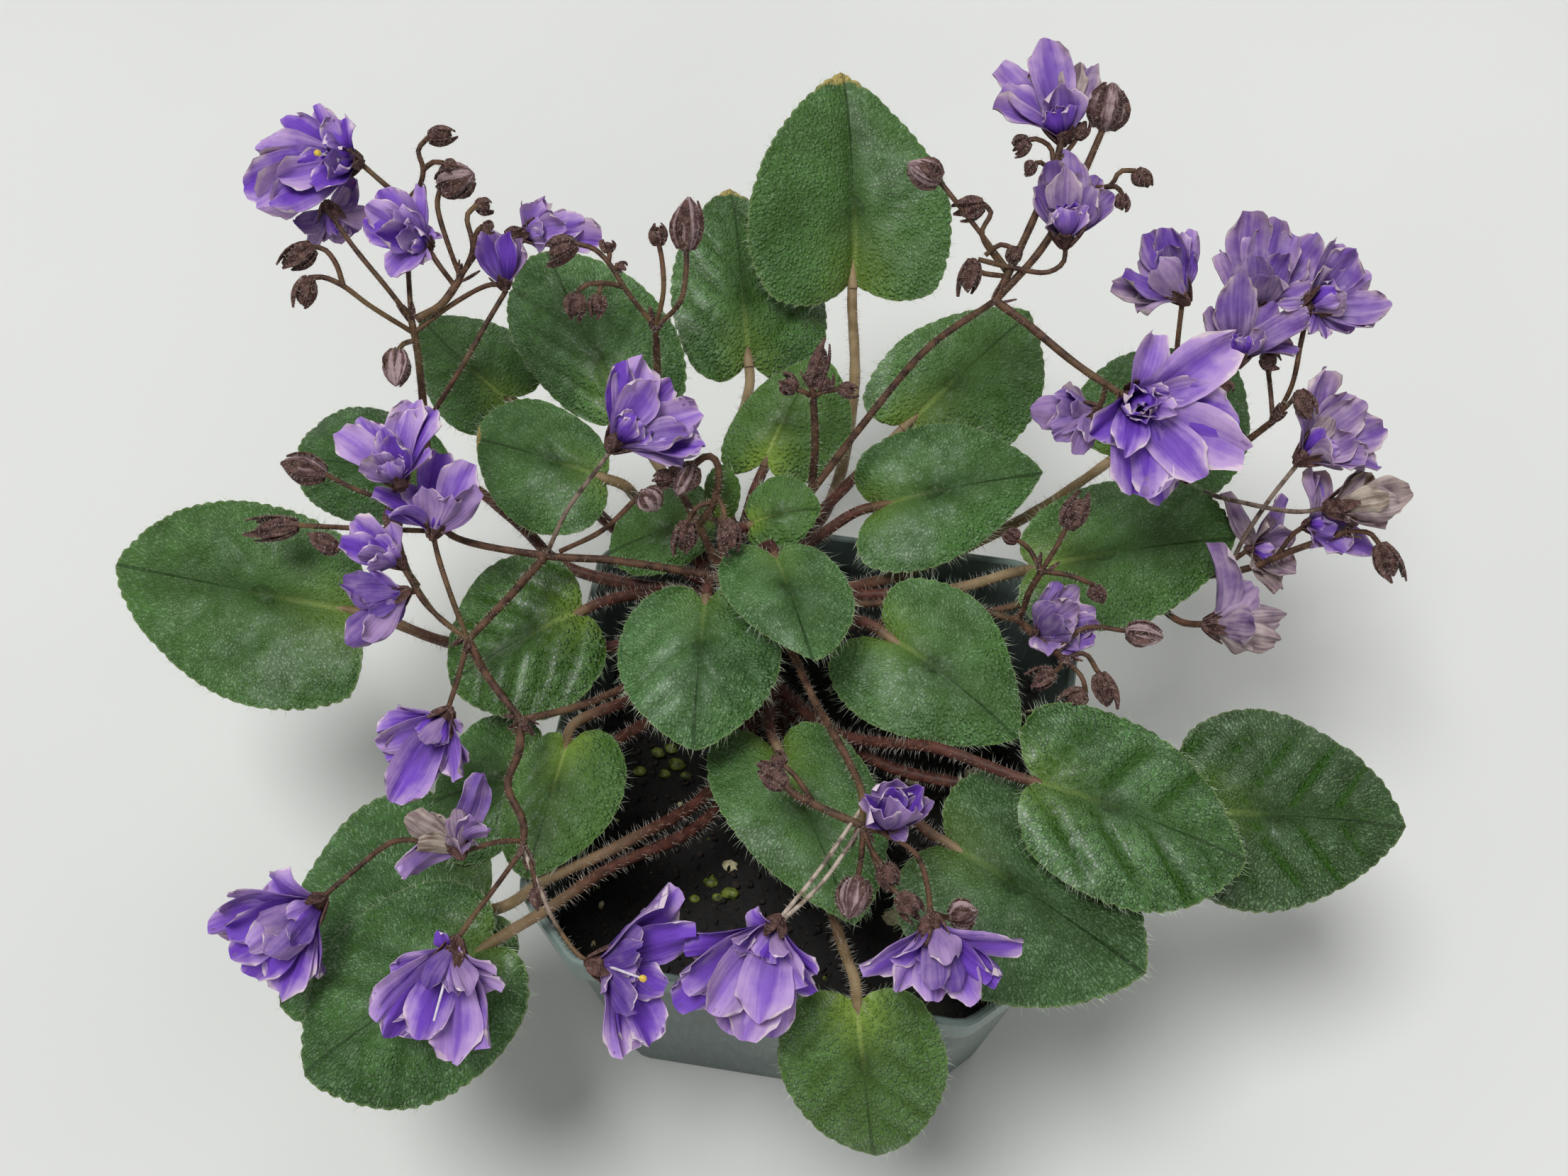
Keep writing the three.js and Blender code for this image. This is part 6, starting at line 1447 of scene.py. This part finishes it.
# name, where the stalk meets the flower, a point it faces, its radius in millimetres, how far
# it is open in degrees, how faded it is as a whole, and its petals: where each tip shows in the
# picture, how many millimetres nearer than the calyx it is, how wide the petal shows, and how
# faded it is where it is. Last, in three of them, where a yellow anther or only a pale filament
# shows, and how many millimetres nearer it is.
BLOOMS = {
    "bloom_01": ((498, 228, 147), (430, 226, 154), 13.5, 72, 0, [
        (451, 154, -1, 38), (484, 166, 2, 42), (416, 172, -4, 44), (368, 212, -3, 44),
        (370, 242, -1, 38), (342, 266, 1, 30), (362, 290, 3, 28), (384, 296, 5, 24),
        (464, 212, 8, 50), (392, 254, 5, 20), (418, 232, 4, 34), (442, 262, 7, 36),
    ], [(449, 216, 9, True)]),
    "bloom_02": ((464, 296, 141), (480, 340, 134), 10.5, 62, 0.15, [
        (414, 312, -2, 32), (427, 346, -5, 26), (468, 338, -7, 46), (500, 330, -6, 42),
        (518, 300, -5, 38), (502, 252, -4, 36), (440, 332, -5, 38), (486, 262, -3, 30),
    ]),
    "bloom_03": ((600, 344, 140), (548, 328, 147), 10.5, 66, 0, [
        (540, 268, 2, 48), (512, 312, 3, 44), (528, 330, 8, 34), (566, 324, 8, 36),
        (548, 384, 5, 46), (608, 322, 0, 38), (600, 270, -2, 22), (590, 373, 1, 34),
        (518, 288, 3, 34), (560, 296, 6, 34),
    ]),
    "bloom_04": ((744, 330, 133), (794, 312, 137), 9.5, 52, 0.1, [
        (772, 291, 2, 48), (798, 322, 3, 36), (825, 314, -1, 38), (848, 342, -2, 20),
        (736, 290, -1, 18, 0.8), (764, 284, -3, 14, 0.4), (812, 306, -3, 28), (770, 336, 4, 34),
    ]),
    "bloom_05": ((870, 624, 123), (930, 566, 130), 15, 56, 0, [
        (868, 518, -1, 36), (903, 506, -4, 20), (886, 518, -2, 16), (918, 533, 4, 48),
        (990, 588, 0, 40), (952, 572, -4, 36), (970, 614, 4, 26, 0.3), (994, 640, 2, 18),
        (966, 654, 1, 22, 0.2), (944, 546, -5, 16), (936, 600, -2, 34),
    ]),
    "bloom_06": ((563, 678, 124.5), (536, 620, 133), 12, 58, 0, [
        (474, 606, 1, 36), (508, 592, -2, 22), (578, 583, -1, 28), (556, 612, 6, 38),
        (586, 564, -3, 22), (611, 572, -1, 30), (506, 664, 4, 26, 0.5), (528, 642, 5, 30),
        (610, 640, 1, 26), (540, 604, 2, 30),
    ]),
    "bloom_07": ((612, 748, 117), (630, 690, 121), 9.6, 58, 0, [
        (664, 652, -2, 46), (678, 692, 1, 26), (620, 640, -4, 34), (527, 694, 0, 32),
        (545, 722, 3, 30), (600, 688, 4, 36), (640, 705, 4, 28), (575, 680, -2, 30),
    ]),
    "bloom_08": ((562, 792, 114), (520, 752, 119), 8.8, 54, 0, [
        (496, 731, -1, 38), (480, 762, 2, 32), (505, 781, 4, 26), (552, 738, -3, 26),
        (520, 800, 5, 24), (524, 760, 3, 30),
    ]),
    "bloom_09": ((568, 838, 112), (520, 866, 110), 8.8, 52, 0, [
        (482, 826, 0, 44), (524, 797, -1, 30), (500, 833, 4, 26), (520, 860, 4, 28),
        (490, 911, 1, 34), (514, 904, 4, 28), (552, 882, 1, 24),
    ]),
    "bloom_10": ((628, 1012, 107), (588, 1072, 106), 12, 60, 0, [
        (561, 997, -1, 26), (532, 1030, 0, 26), (529, 1053, 1, 36), (543, 1071, -1, 32),
        (556, 1133, 3, 48), (604, 1100, -1, 28), (650, 1101, 2, 36), (661, 1075, 0, 30),
        (651, 1029, -1, 28), (596, 1048, 6, 26),
    ]),
    "bloom_11": ((446, 1275, 97), (380, 1326, 99), 13.5, 62, 0, [
        (378, 1238, -1, 62), (330, 1262, -1, 38), (301, 1297, 0, 38), (318, 1317, 5, 20),
        (327, 1343, 1, 40), (347, 1381, 1, 44), (394, 1408, 0, 58), (428, 1384, -1, 34),
        (450, 1376, -1, 26), (366, 1302, 7, 44), (384, 1346, 8, 46), (350, 1338, 5, 34),
        (408, 1332, 7, 30),
    ]),
    "bloom_12": ((640, 1338, 101), (618, 1412, 99), 13.5, 62, 0, [
        (617, 1313, 0, 28), (656, 1345, 1, 24), (551, 1366, 1, 28), (525, 1430, 1, 60),
        (544, 1457, -1, 44), (589, 1467, 3, 24), (648, 1497, 1, 46), (684, 1480, 2, 52),
        (708, 1400, 0, 38), (700, 1366, -1, 32), (664, 1395, 7, 18), (598, 1388, 6, 28),
        (640, 1402, 6, 22),
    ], [(612, 1440, 9, False)]),
    "bloom_13": ((846, 1360, 101), (915, 1366, 102), 15.5, 64, 0, [
        (960, 1261, 2, 60), (984, 1310, 1, 36), (897, 1306, 5, 20), (892, 1337, 7, 26),
        (879, 1429, 8, 32), (938, 1393, -1, 46), (923, 1473, 2, 36), (878, 1463, 0, 28),
        (861, 1490, 3, 30), (850, 1400, 5, 26), (930, 1290, -3, 44),
    ], [(906, 1380, 10, True)]),
    "bloom_14": ((1092, 1308, 104), (1056, 1392, 104), 14, 62, 0, [
        (1060, 1283, 1, 36), (966, 1343, 1, 24), (961, 1388, 3, 48), (953, 1421, 1, 38),
        (998, 1425, 4, 44), (1025, 1457, 2, 40), (1070, 1441, 7, 66), (1127, 1395, 6, 46),
        (1153, 1373, 2, 38), (1149, 1403, 0, 34), (1087, 1463, 1, 46), (1054, 1468, 3, 38),
        (1032, 1328, 4, 46), (1112, 1345, 8, 26),
    ]),
    "bloom_15": ((1316, 1306, 106), (1324, 1376, 104), 14, 64, 0, [
        (1215, 1373, 1, 48), (1258, 1393, 2, 40), (1260, 1357, 5, 22), (1315, 1414, 1, 44),
        (1322, 1395, 6, 20), (1352, 1395, 5, 40), (1397, 1383, 4, 36), (1380, 1409, 1, 46),
        (1437, 1322, 0, 40), (1413, 1377, 1, 34), (1342, 1352, 7, 40),
    ]),
    "bloom_16": ((1498, 190, 143), (1482, 120, 152), 13.5, 54, 0.15, [
        (1413, 87, -1, 48), (1416, 122, 2, 24), (1400, 158, 3, 30), (1476, 57, 0, 26),
        (1518, 104, -3, 38, 0.9), (1540, 94, -3, 26, 0.6), (1503, 117, 6, 50), (1532, 142, 2, 22),
        (1466, 92, -3, 18, 0.8), (1450, 130, -3, 36),
    ]),
    "bloom_17": ((1503, 334, 137), (1510, 262, 147), 15, 34, 0.4, [
        (1461, 262, 1, 32), (1479, 230, -1, 34), (1504, 211, -3, 46), (1503, 242, 6, 42),
        (1536, 265, 5, 46), (1572, 276, 1, 38), (1549, 246, -2, 22), (1527, 252, -3, 30),
        (1478, 296, 4, 30),
    ]),
    "bloom_18": ((1668, 418, 120), (1628, 366, 126), 12, 52, 0.15, [
        (1618, 329, -1, 34), (1646, 323, 0, 36), (1661, 326, -2, 28), (1681, 324, -2, 16),
        (1638, 376, 7, 44), (1581, 395, 3, 34, 0.2), (1567, 404, 1, 16, 0.6),
        (1602, 435, 2, 22, 0.4), (1684, 356, 1, 24, 0.2), (1609, 364, -3, 24), (1640, 346, 4, 32),
    ]),
    "bloom_19": ((1773, 430, 116), (1784, 360, 125), 12, 48, 0.25, [
        (1757, 297, -1, 32), (1803, 307, -1, 18), (1781, 318, -2, 28), (1722, 353, 1, 22),
        (1768, 360, 6, 48), (1790, 385, 7, 50), (1851, 407, 3, 30), (1816, 356, 4, 36),
        (1824, 329, -1, 44), (1859, 335, -3, 30), (1842, 362, -2, 34),
    ]),
    "bloom_20": ((1848, 432, 122), (1910, 404, 127), 13.5, 56, 0.3, [
        (1909, 351, 2, 50), (1935, 388, 1, 44), (1962, 433, 2, 20), (1939, 457, 1, 26),
        (1900, 471, -1, 28), (1866, 478, 1, 18), (1870, 374, 4, 24, 0.5), (1882, 343, -3, 26),
        (1902, 420, 5, 34), (1804, 432, 0, 14), (1850, 472, 2, 16),
    ]),
    "bloom_21": ((1746, 506, 115), (1754, 450, 122), 11.5, 52, 0.35, [
        (1744, 387, 4, 46), (1697, 438, 1, 26, 0.4), (1716, 430, 0, 24, 0.5), (1847, 457, 2, 36),
        (1800, 429, -2, 38), (1831, 493, 2, 20), (1762, 430, -3, 34), (1722, 470, 3, 24),
        (1790, 470, 5, 28),
    ]),
    "bloom_22": ((1594, 564, 125), (1644, 590, 136), 16, 76, 0, [
        (1627, 476, 1, 44), (1723, 485, -2, 48), (1688, 545, 2, 36), (1751, 603, 2, 84),
        (1744, 638, -1, 62), (1694, 674, 3, 54), (1600, 696, 1, 74), (1637, 706, -1, 22),
        (1540, 615, 4, 46), (1590, 637, 9, 46), (1656, 580, 9, 24), (1652, 552, 8, 20),
        (1636, 566, 10, 14),
    ]),
    "bloom_23": ((1840, 644, 105), (1898, 604, 110), 14, 50, 0.4, [
        (1862, 521, 0, 26), (1838, 572, 2, 30), (1898, 559, -3, 40), (1924, 566, 1, 16),
        (1955, 600, 0, 44), (1886, 653, 6, 44), (1926, 659, 4, 42), (1949, 655, 1, 20),
        (1878, 588, 3, 22, 0.7), (1915, 620, 3, 38),
    ]),
}
# the small, fading and half-open blooms of each spray, given the same way
STALK_BLOOMS = {
    "spray_left": [
        ((712, 404, 133), (700, 350, 139), 9.5, 26, 0, [
            (682, 322, 1, 42), (714, 329, 4, 28), (739, 337, 1, 36, 0.3), (702, 334, -2, 38),
        ]),
        ((650, 1206, 104), (630, 1160, 106), 9.5, 58, 0, [
            (684, 1095, 0, 42), (668, 1150, 3, 26), (645, 1145, 3, 26, 0.5), (690, 1171, 1, 24),
            (656, 1197, 4, 38, 0.6), (571, 1241, 2, 46), (571, 1160, 2, 38, 0.9),
            (600, 1150, 0, 34, 0.9), (590, 1196, 4, 40, 1.0),
        ]),
    ],
    "spray_right": [
        ((1876, 716, 101), (1950, 698, 103), 15.5, 12, 0, [
            (1992, 692, 2, 46, 0.9), (1979, 712, 5, 42, 0.8), (1957, 738, 1, 38, 0.8),
            (1960, 700, 6, 32, 1.0), (1922, 663, -1, 20, 0.8), (1940, 672, -2, 32, 1.0),
            (1902, 736, 2, 26, 0.9),
        ]),
        ((1842, 742, 95), (1876, 736, 98), 9, 60, 0, [
            (1862, 667, -1, 30), (1845, 661, -1, 16, 0.5), (1913, 732, 0, 32),
            (1941, 775, 1, 24, 0.2), (1896, 781, 3, 46, 0.2), (1856, 773, 3, 32, 0.3),
            (1882, 750, 5, 32),
        ]),
        ((1762, 774, 87), (1800, 782, 88), 9.5, 46, 0, [
            (1732, 693, -1, 24, 0.7), (1817, 702, 0, 44, 0.35), (1827, 748, 2, 36, 0.5),
            (1829, 807, 2, 38, 0.8), (1806, 833, 3, 36, 0.9), (1778, 812, 3, 30, 0.9),
            (1790, 728, 3, 34, 0.8),
        ]),
        ((1704, 881, 87), (1780, 884, 85), 13.5, 16, 0, [
            (1717, 763, 1, 26, 0.3), (1768, 819, 0, 52, 0.35), (1809, 870, 1, 40, 0.7),
            (1806, 905, 3, 40, 0.8), (1768, 915, 3, 38, 0.8), (1772, 884, 7, 44, 0.5),
        ]),
    ],
    "spray_upper_right": [
        ((1548, 577, 121), (1504, 590, 118), 8.5, 56, 0, [
            (1452, 582, 0, 40), (1486, 603, 3, 14), (1497, 561, 4, 36), (1489, 618, 2, 22),
            (1524, 640, 1, 32), (1541, 618, 3, 28), (1508, 539, -1, 14, 0.6), (1518, 560, 5, 30),
        ]),
    ],
    "spray_near_right": [
        ((1462, 896, 95), (1510, 872, 101), 8.5, 36, 0.3, [
            (1492, 821, -1, 32, 0.3), (1519, 827, -2, 34), (1521, 846, 2, 36), (1545, 860, 0, 30),
            (1550, 877, 1, 30), (1490, 862, 7, 48, 0.2), (1484, 919, 5, 48, 0.2),
            (1546, 904, 1, 26), (1521, 927, 2, 38, 0.3), (1513, 881, 5, 38),
        ]),
    ],
    "spray_front": [
        ((1252, 1170, 103), (1262, 1140, 110), 7.4, 22, 0, [
            (1227, 1126, 5, 46), (1262, 1094, 2, 52), (1299, 1106, 4, 40), (1286, 1142, 9, 40),
            (1250, 1144, 10, 40), (1216, 1127, 2, 16, 0.5), (1313, 1130, 3, 16, 0.5),
            (1262, 1112, 5, 34), (1278, 1186, 2, 22, 0.4),
        ]),
    ],
}
PETAL_THICKNESS = 0.24 * MM
PETAL_COLUMNS = 11
PETAL_ROWS = 11
PETAL_SHAPE = (
    (0, 0.3), (0.2, 0.58), (0.4, 0.84), (0.6, 0.99), (0.76, 1.0), (0.89, 0.94), (1, 0.7),
)
PETAL_RISE = 0.5
CALYX_PROFILE = ((0, 0.03), (0.3, 0.11), (0.8, 0.12), (1, 0.03))
FILAMENT_PROFILE = ((0, 0.3 * MM), (0.5, 0.25 * MM), (1, 0.2 * MM))
ANTHER_PROFILE = ((0, 0.2 * MM), (0.25, 0.6 * MM), (0.7, 0.65 * MM), (1, 0.2 * MM))
ANTHER_LENGTH = 1.6 * MM
ANTHER_BACK = 0.6 * MM

petal_skin, tree = start_material("petal_skin")
petal = tree.attribute("petal", "Vector")
petal_out, petal_along, petal_tone = [petal.part(axis) for axis in "XYZ"]
streak = tree.mottle(1.7, 3, tree.node("CombineXYZ", {}, {
    "X": petal_out * 3.2 + petal_tone * 40, "Y": petal_along * 0.9, "Z": petal_tone * 17,
}))
blotch = tree.mottle(260, 3)
edge = abs(petal_out) * (0.3 + petal_along * 0.7) + (petal_along ** 4) * 0.45
pale = edge + (streak - 0.5) * 0.8 + (blotch - 0.5) * 1.0 + petal_tone * 0.5
violet = (petal_along + (streak - 0.5) * 0.7).shades((42, 14, 90), (112, 68, 184), 0.0, 0.75)
front_paint = layered(
    violet,
    (petal_tone.rise(0.4, 1.0) * 0.65, (152, 116, 196)),
    (pale.rise(0.5, 1.35) * 0.85, (194, 164, 210)),
    ((edge + (blotch - 0.5) * 0.7).rise(0.9, 1.1) * 0.85, (224, 206, 214)),
)
back_paint = (streak * 0.4 + blotch * 0.6 + petal_tone * 0.3).shades(
    (80, 50, 136), (166, 138, 180), 0.35, 0.95)
fresh = (tree.attribute("back") * 0.9).blend(front_paint, back_paint)
old = (streak * 0.5 + blotch * 0.5).shades((112, 94, 84), (188, 174, 160), 0.35, 0.65)
tree.surface({
    "Base Color": tree.attribute("faded").blend(fresh, old),
    "Roughness": 0.5 + streak * 0.15,
    "Specular IOR Level": 0.2,
    "Subsurface Weight": 0.06,
    "Subsurface Scale": 0.001,
    "Normal": tree.relief(streak * 0.5 + blotch * 0.5, 0.0005),
})
anther_skin = plain_paint("anther_yellow", (200, 160, 40), (236, 210, 90), 900, 0.5, 0.0001)
filament_skin = plain_paint("filament", (206, 196, 208), (232, 226, 232), 900, 0.5, 0.0001)


def add_petal(parts, base, tip, front, width, cup, bulge, seed, values):
    """A thin round-tipped petal that rises along its bloom's front and turns out to its tip"""
    draw = np.random.RandomState(seed)
    chord = tip - base
    length = np.linalg.norm(chord)
    along = chord / length
    inner = front - along * (front @ along)
    # petals show their faces rather than their edges
    inner += 0.75 * np.sign(inner @ view_back) * (view_back - along * (view_back @ along))
    inner = unit(inner)
    sideway = np.cross(along, inner)
    spread = 1 - abs(front @ along)
    knee = base + chord * 0.45 + inner * bulge * length
    knee += (front * PETAL_RISE * length - chord * 0.3) * 0.7 * spread
    phase = draw.uniform(0, math.tau, 3)
    crease = draw.uniform(0.01, 0.05) * width
    curl = draw.uniform(0.07, 0.17)
    hook, roll = draw.uniform(-0.5, 0.8), draw.uniform(-0.25, 0.5)
    rolled = draw.choice([-1, 1])
    grid, spots, ups = [], [], []
    for share in np.linspace(0, 1, PETAL_ROWS):
        centre = base * (1 - share) ** 2 + 2 * share * (1 - share) * knee + tip * share ** 2
        toward = unit((knee - base) * (1 - share) + (tip - knee) * share)
        up = unit(np.cross(sideway, toward))
        half = 0.5 * width * np.interp(share, *zip(*PETAL_SHAPE))
        for column in np.linspace(-1, 1, PETAL_COLUMNS):
            wavy = math.sin(4.2 * column + phase[0]) * share ** 2
            wavy += math.sin(5.5 * share + phase[1]) * column * abs(column) * share
            wavy += 0.45 * math.sin(9 * column + phase[2]) * share ** 4
            lift = cup * half * column ** 2 + curl * width * wavy
            lift -= crease * math.exp(-(column / 0.3) ** 2) * (1 - share * share)
            lift += hook * length * max(0, share - 0.55) ** 2
            lift += roll * half * max(0, rolled * column) ** 3
            short = (0.2 * column ** 2 + 0.42 * column ** 4) * share ** 6
            short += 0.05 * math.sin(6 * column + phase[2]) * share ** 4
            wider = half * column * (1 + 0.07 * math.sin(7 * share + phase[0] + 2 * column))
            grid.append(centre + sideway * wider + up * lift - toward * 0.5 * width * short)
            spots.append((column, share, draw_tone(seed)))
            ups.append(up)
    grid, ups = np.array(grid), np.array(ups)
    thin = PETAL_THICKNESS / 2
    total = len(grid)
    faces = []
    for quad in grid_faces(PETAL_ROWS, PETAL_COLUMNS):
        faces += [quad, tuple(total + index for index in quad[::-1])]
    loop = grid_edge(PETAL_ROWS, PETAL_COLUMNS)
    for index, here in enumerate(loop):
        after = loop[(index + 1) % len(loop)]
        faces.append((after, here, total + here, total + after))
    parts.add(np.concatenate([grid + ups * thin, grid - ups * thin]), faces, {
        "petal": np.tile(spots, (2, 1)),
        "back": np.concatenate([np.zeros(total), np.ones(total)]),
        "way": 0.5,
        "spoke": np.zeros((1, 3)),
        **values,
    })


def draw_tone(seed):
    """A share from 0 to 1 that stays the same for a petal"""
    return (math.sin(12.9 * seed) * 437.5) % 1


def sighted(across, down, depth):
    """The place that shows at a spot of the picture, so far from the camera"""
    sight = (across - FRAME_MIDDLE[0]) * view_right + (FRAME_MIDDLE[1] - down) * view_up
    return eye + (sight / FOCAL_PIXELS - view_back) * depth


def add_bloom(parts, seed, shift, calyx, front_place, radius, open_degrees, fading, petals,
              anthers=()):
    """A double bloom: its petals as they show, a small heart, and five sepals behind"""
    calyx = seen(calyx)
    front = unit(seen(front_place) - calyx)
    calyx = calyx - front * shift
    radius = radius * MM
    depth = (eye - calyx) @ view_back
    pixel = depth / FOCAL_PIXELS
    heart = calyx + front * 0.1 * radius
    closed = open_degrees < CLOSED_BELOW
    for index, (across, down, nearer, wide, *rest) in enumerate(petals):
        tip = sighted(across, down, depth - nearer * MM)
        outward = (tip - heart) - front * ((tip - heart) @ front)
        base = heart + unit(outward) * 0.07 * radius
        draw = np.random.RandomState(100 * seed + index)
        width = max(1.25 * wide * pixel, 0.5 * np.linalg.norm(tip - base))
        cupped = open_degrees < CUPPED_BELOW
        bulge = draw.uniform(-0.22, -0.14) if cupped else draw.uniform(-0.08, 0.1)
        cup = draw.uniform(0.35, 0.6) if closed else draw.uniform(-0.1, 0.35)
        add_petal(parts, base, tip, front, width, cup, bulge, 100 * seed + index,
                  {"faded": max(fading, *rest, 0)})
    if not closed:
        axes = across_axes(front)
        for index in range(HEART_PETALS):
            outward = spoke_at(axes, math.tau * index / HEART_PETALS + seed)
            tip = heart + (front * 0.42 + outward * (0.17 + 0.13 * math.sin(3 * index))) * radius
            add_petal(parts, heart + outward * 0.05 * radius, tip, front, 0.3 * radius, 0.5, -0.15,
                      100 * seed + 50 + index, {"faded": 0.0, "back": 0.0})
    plain = {"petal": np.zeros((1, 3)), "back": 0.0, "faded": 0.0}
    profile = [(share, wide * radius) for share, wide in CALYX_PROFILE]
    add_spindle(parts, calyx - front * 0.12 * radius, front, 0.3 * radius, profile, 8, plain,
                slot=1)
    add_sepals(parts, calyx - front * 0.08 * radius, front, 0.38 * radius, 0.16 * radius,
               0.14 * radius, 0.2 * radius, seed, plain, slot=1)
    for across, down, nearer, yellow in anthers:
        end = sighted(across, down, depth - nearer * MM)
        way, far = unit(end - heart), np.linalg.norm(end - heart)
        add_spindle(parts, heart, way, far, FILAMENT_PROFILE, 6, plain, slot=3)
        if yellow:
            add_spindle(parts, end - way * ANTHER_BACK, way, ANTHER_LENGTH, ANTHER_PROFILE, 8,
                        plain, slot=2)


for order, (bloom_name, bloom) in enumerate(BLOOMS.items()):
    parts = Parts()
    add_bloom(parts, 11 + order, STALK_SEAT, *bloom)
    petals = parts.piece(bloom_name + "_petals", [petal_skin, bud_skin, anther_skin, filament_skin])
    keep_piece(petals, "petal", bloom_name)

for order, (spray_name, blooms) in enumerate(STALK_BLOOMS.items()):
    parts = Parts()
    for index, bloom in enumerate(blooms):
        add_bloom(parts, 60 + 9 * order + index, 0, *bloom)
    small = parts.piece(spray_name + "_small_blooms", [petal_skin, bud_skin])
    keep_piece(small, "petal")

# Stage: a plain pale floor that sweeps up far from the plant, under broad soft lights, none of
# it part of the plant
FLOOR_REACH = 5.0
SWEEP_RADIUS = 2.5
SWEEP_LEAN = math.radians(80)
SWEEP_STEPS = 16
SWEEP_SIDES = 96
floor_paint = plain_paint(
    "floor_paint", (212, 213, 210), (217, 218, 215), 4, 0.75, 0.00001)
floor_points = []
for lean in np.linspace(0, SWEEP_LEAN, SWEEP_STEPS):
    reach, height = FLOOR_REACH + SWEEP_RADIUS * math.sin(lean), SWEEP_RADIUS * (1 - math.cos(lean))
    floor_points += [(reach * x, reach * y, height) for x, y in circle(SWEEP_SIDES)]
floor_faces = [tuple(range(SWEEP_SIDES))]
for low in range(0, SWEEP_SIDES * (SWEEP_STEPS - 1), SWEEP_SIDES):
    for side in range(SWEEP_SIDES):
        beside = (side + 1) % SWEEP_SIDES
        floor_faces.append((
            low + side, low + SWEEP_SIDES + side, low + SWEEP_SIDES + beside, low + beside))
floor = make_piece("floor", floor_points, floor_faces, [floor_paint])

world = bpy.data.worlds.new("soft_room")
world.use_nodes = True
world.node_tree.nodes["Background"].inputs["Color"].default_value = (0.96, 0.97, 0.98, 1.0)
world.node_tree.nodes["Background"].inputs["Strength"].default_value = 0.3
bpy.context.scene.world = world
plant_middle = Vector((0, 0.02, 0.08))
# where each light stands, how wide its disc looks in degrees, and its strength in watts per
# square metre; all of them look at the plant
for name, place, wide, watts in [
    ("ceiling_light", (-0.32, -0.1, 1.5), 24, 2.14),
    ("back_window", (0.15, 1.0, 1.35), 30, 0.42),
    ("front_fill", (0.7, -1.2, 1.1), 40, 0.2),
]:
    light = bpy.data.lights.new(name, "SUN")
    light.angle, light.energy = math.radians(wide), watts
    aim = (plant_middle - Vector(place)).to_track_quat("-Z", "Y")
    put_in(name, light).matrix_world = Matrix.Translation(place) @ aim.to_matrix().to_4x4()
bpy.context.scene.view_settings.view_transform = "Standard"
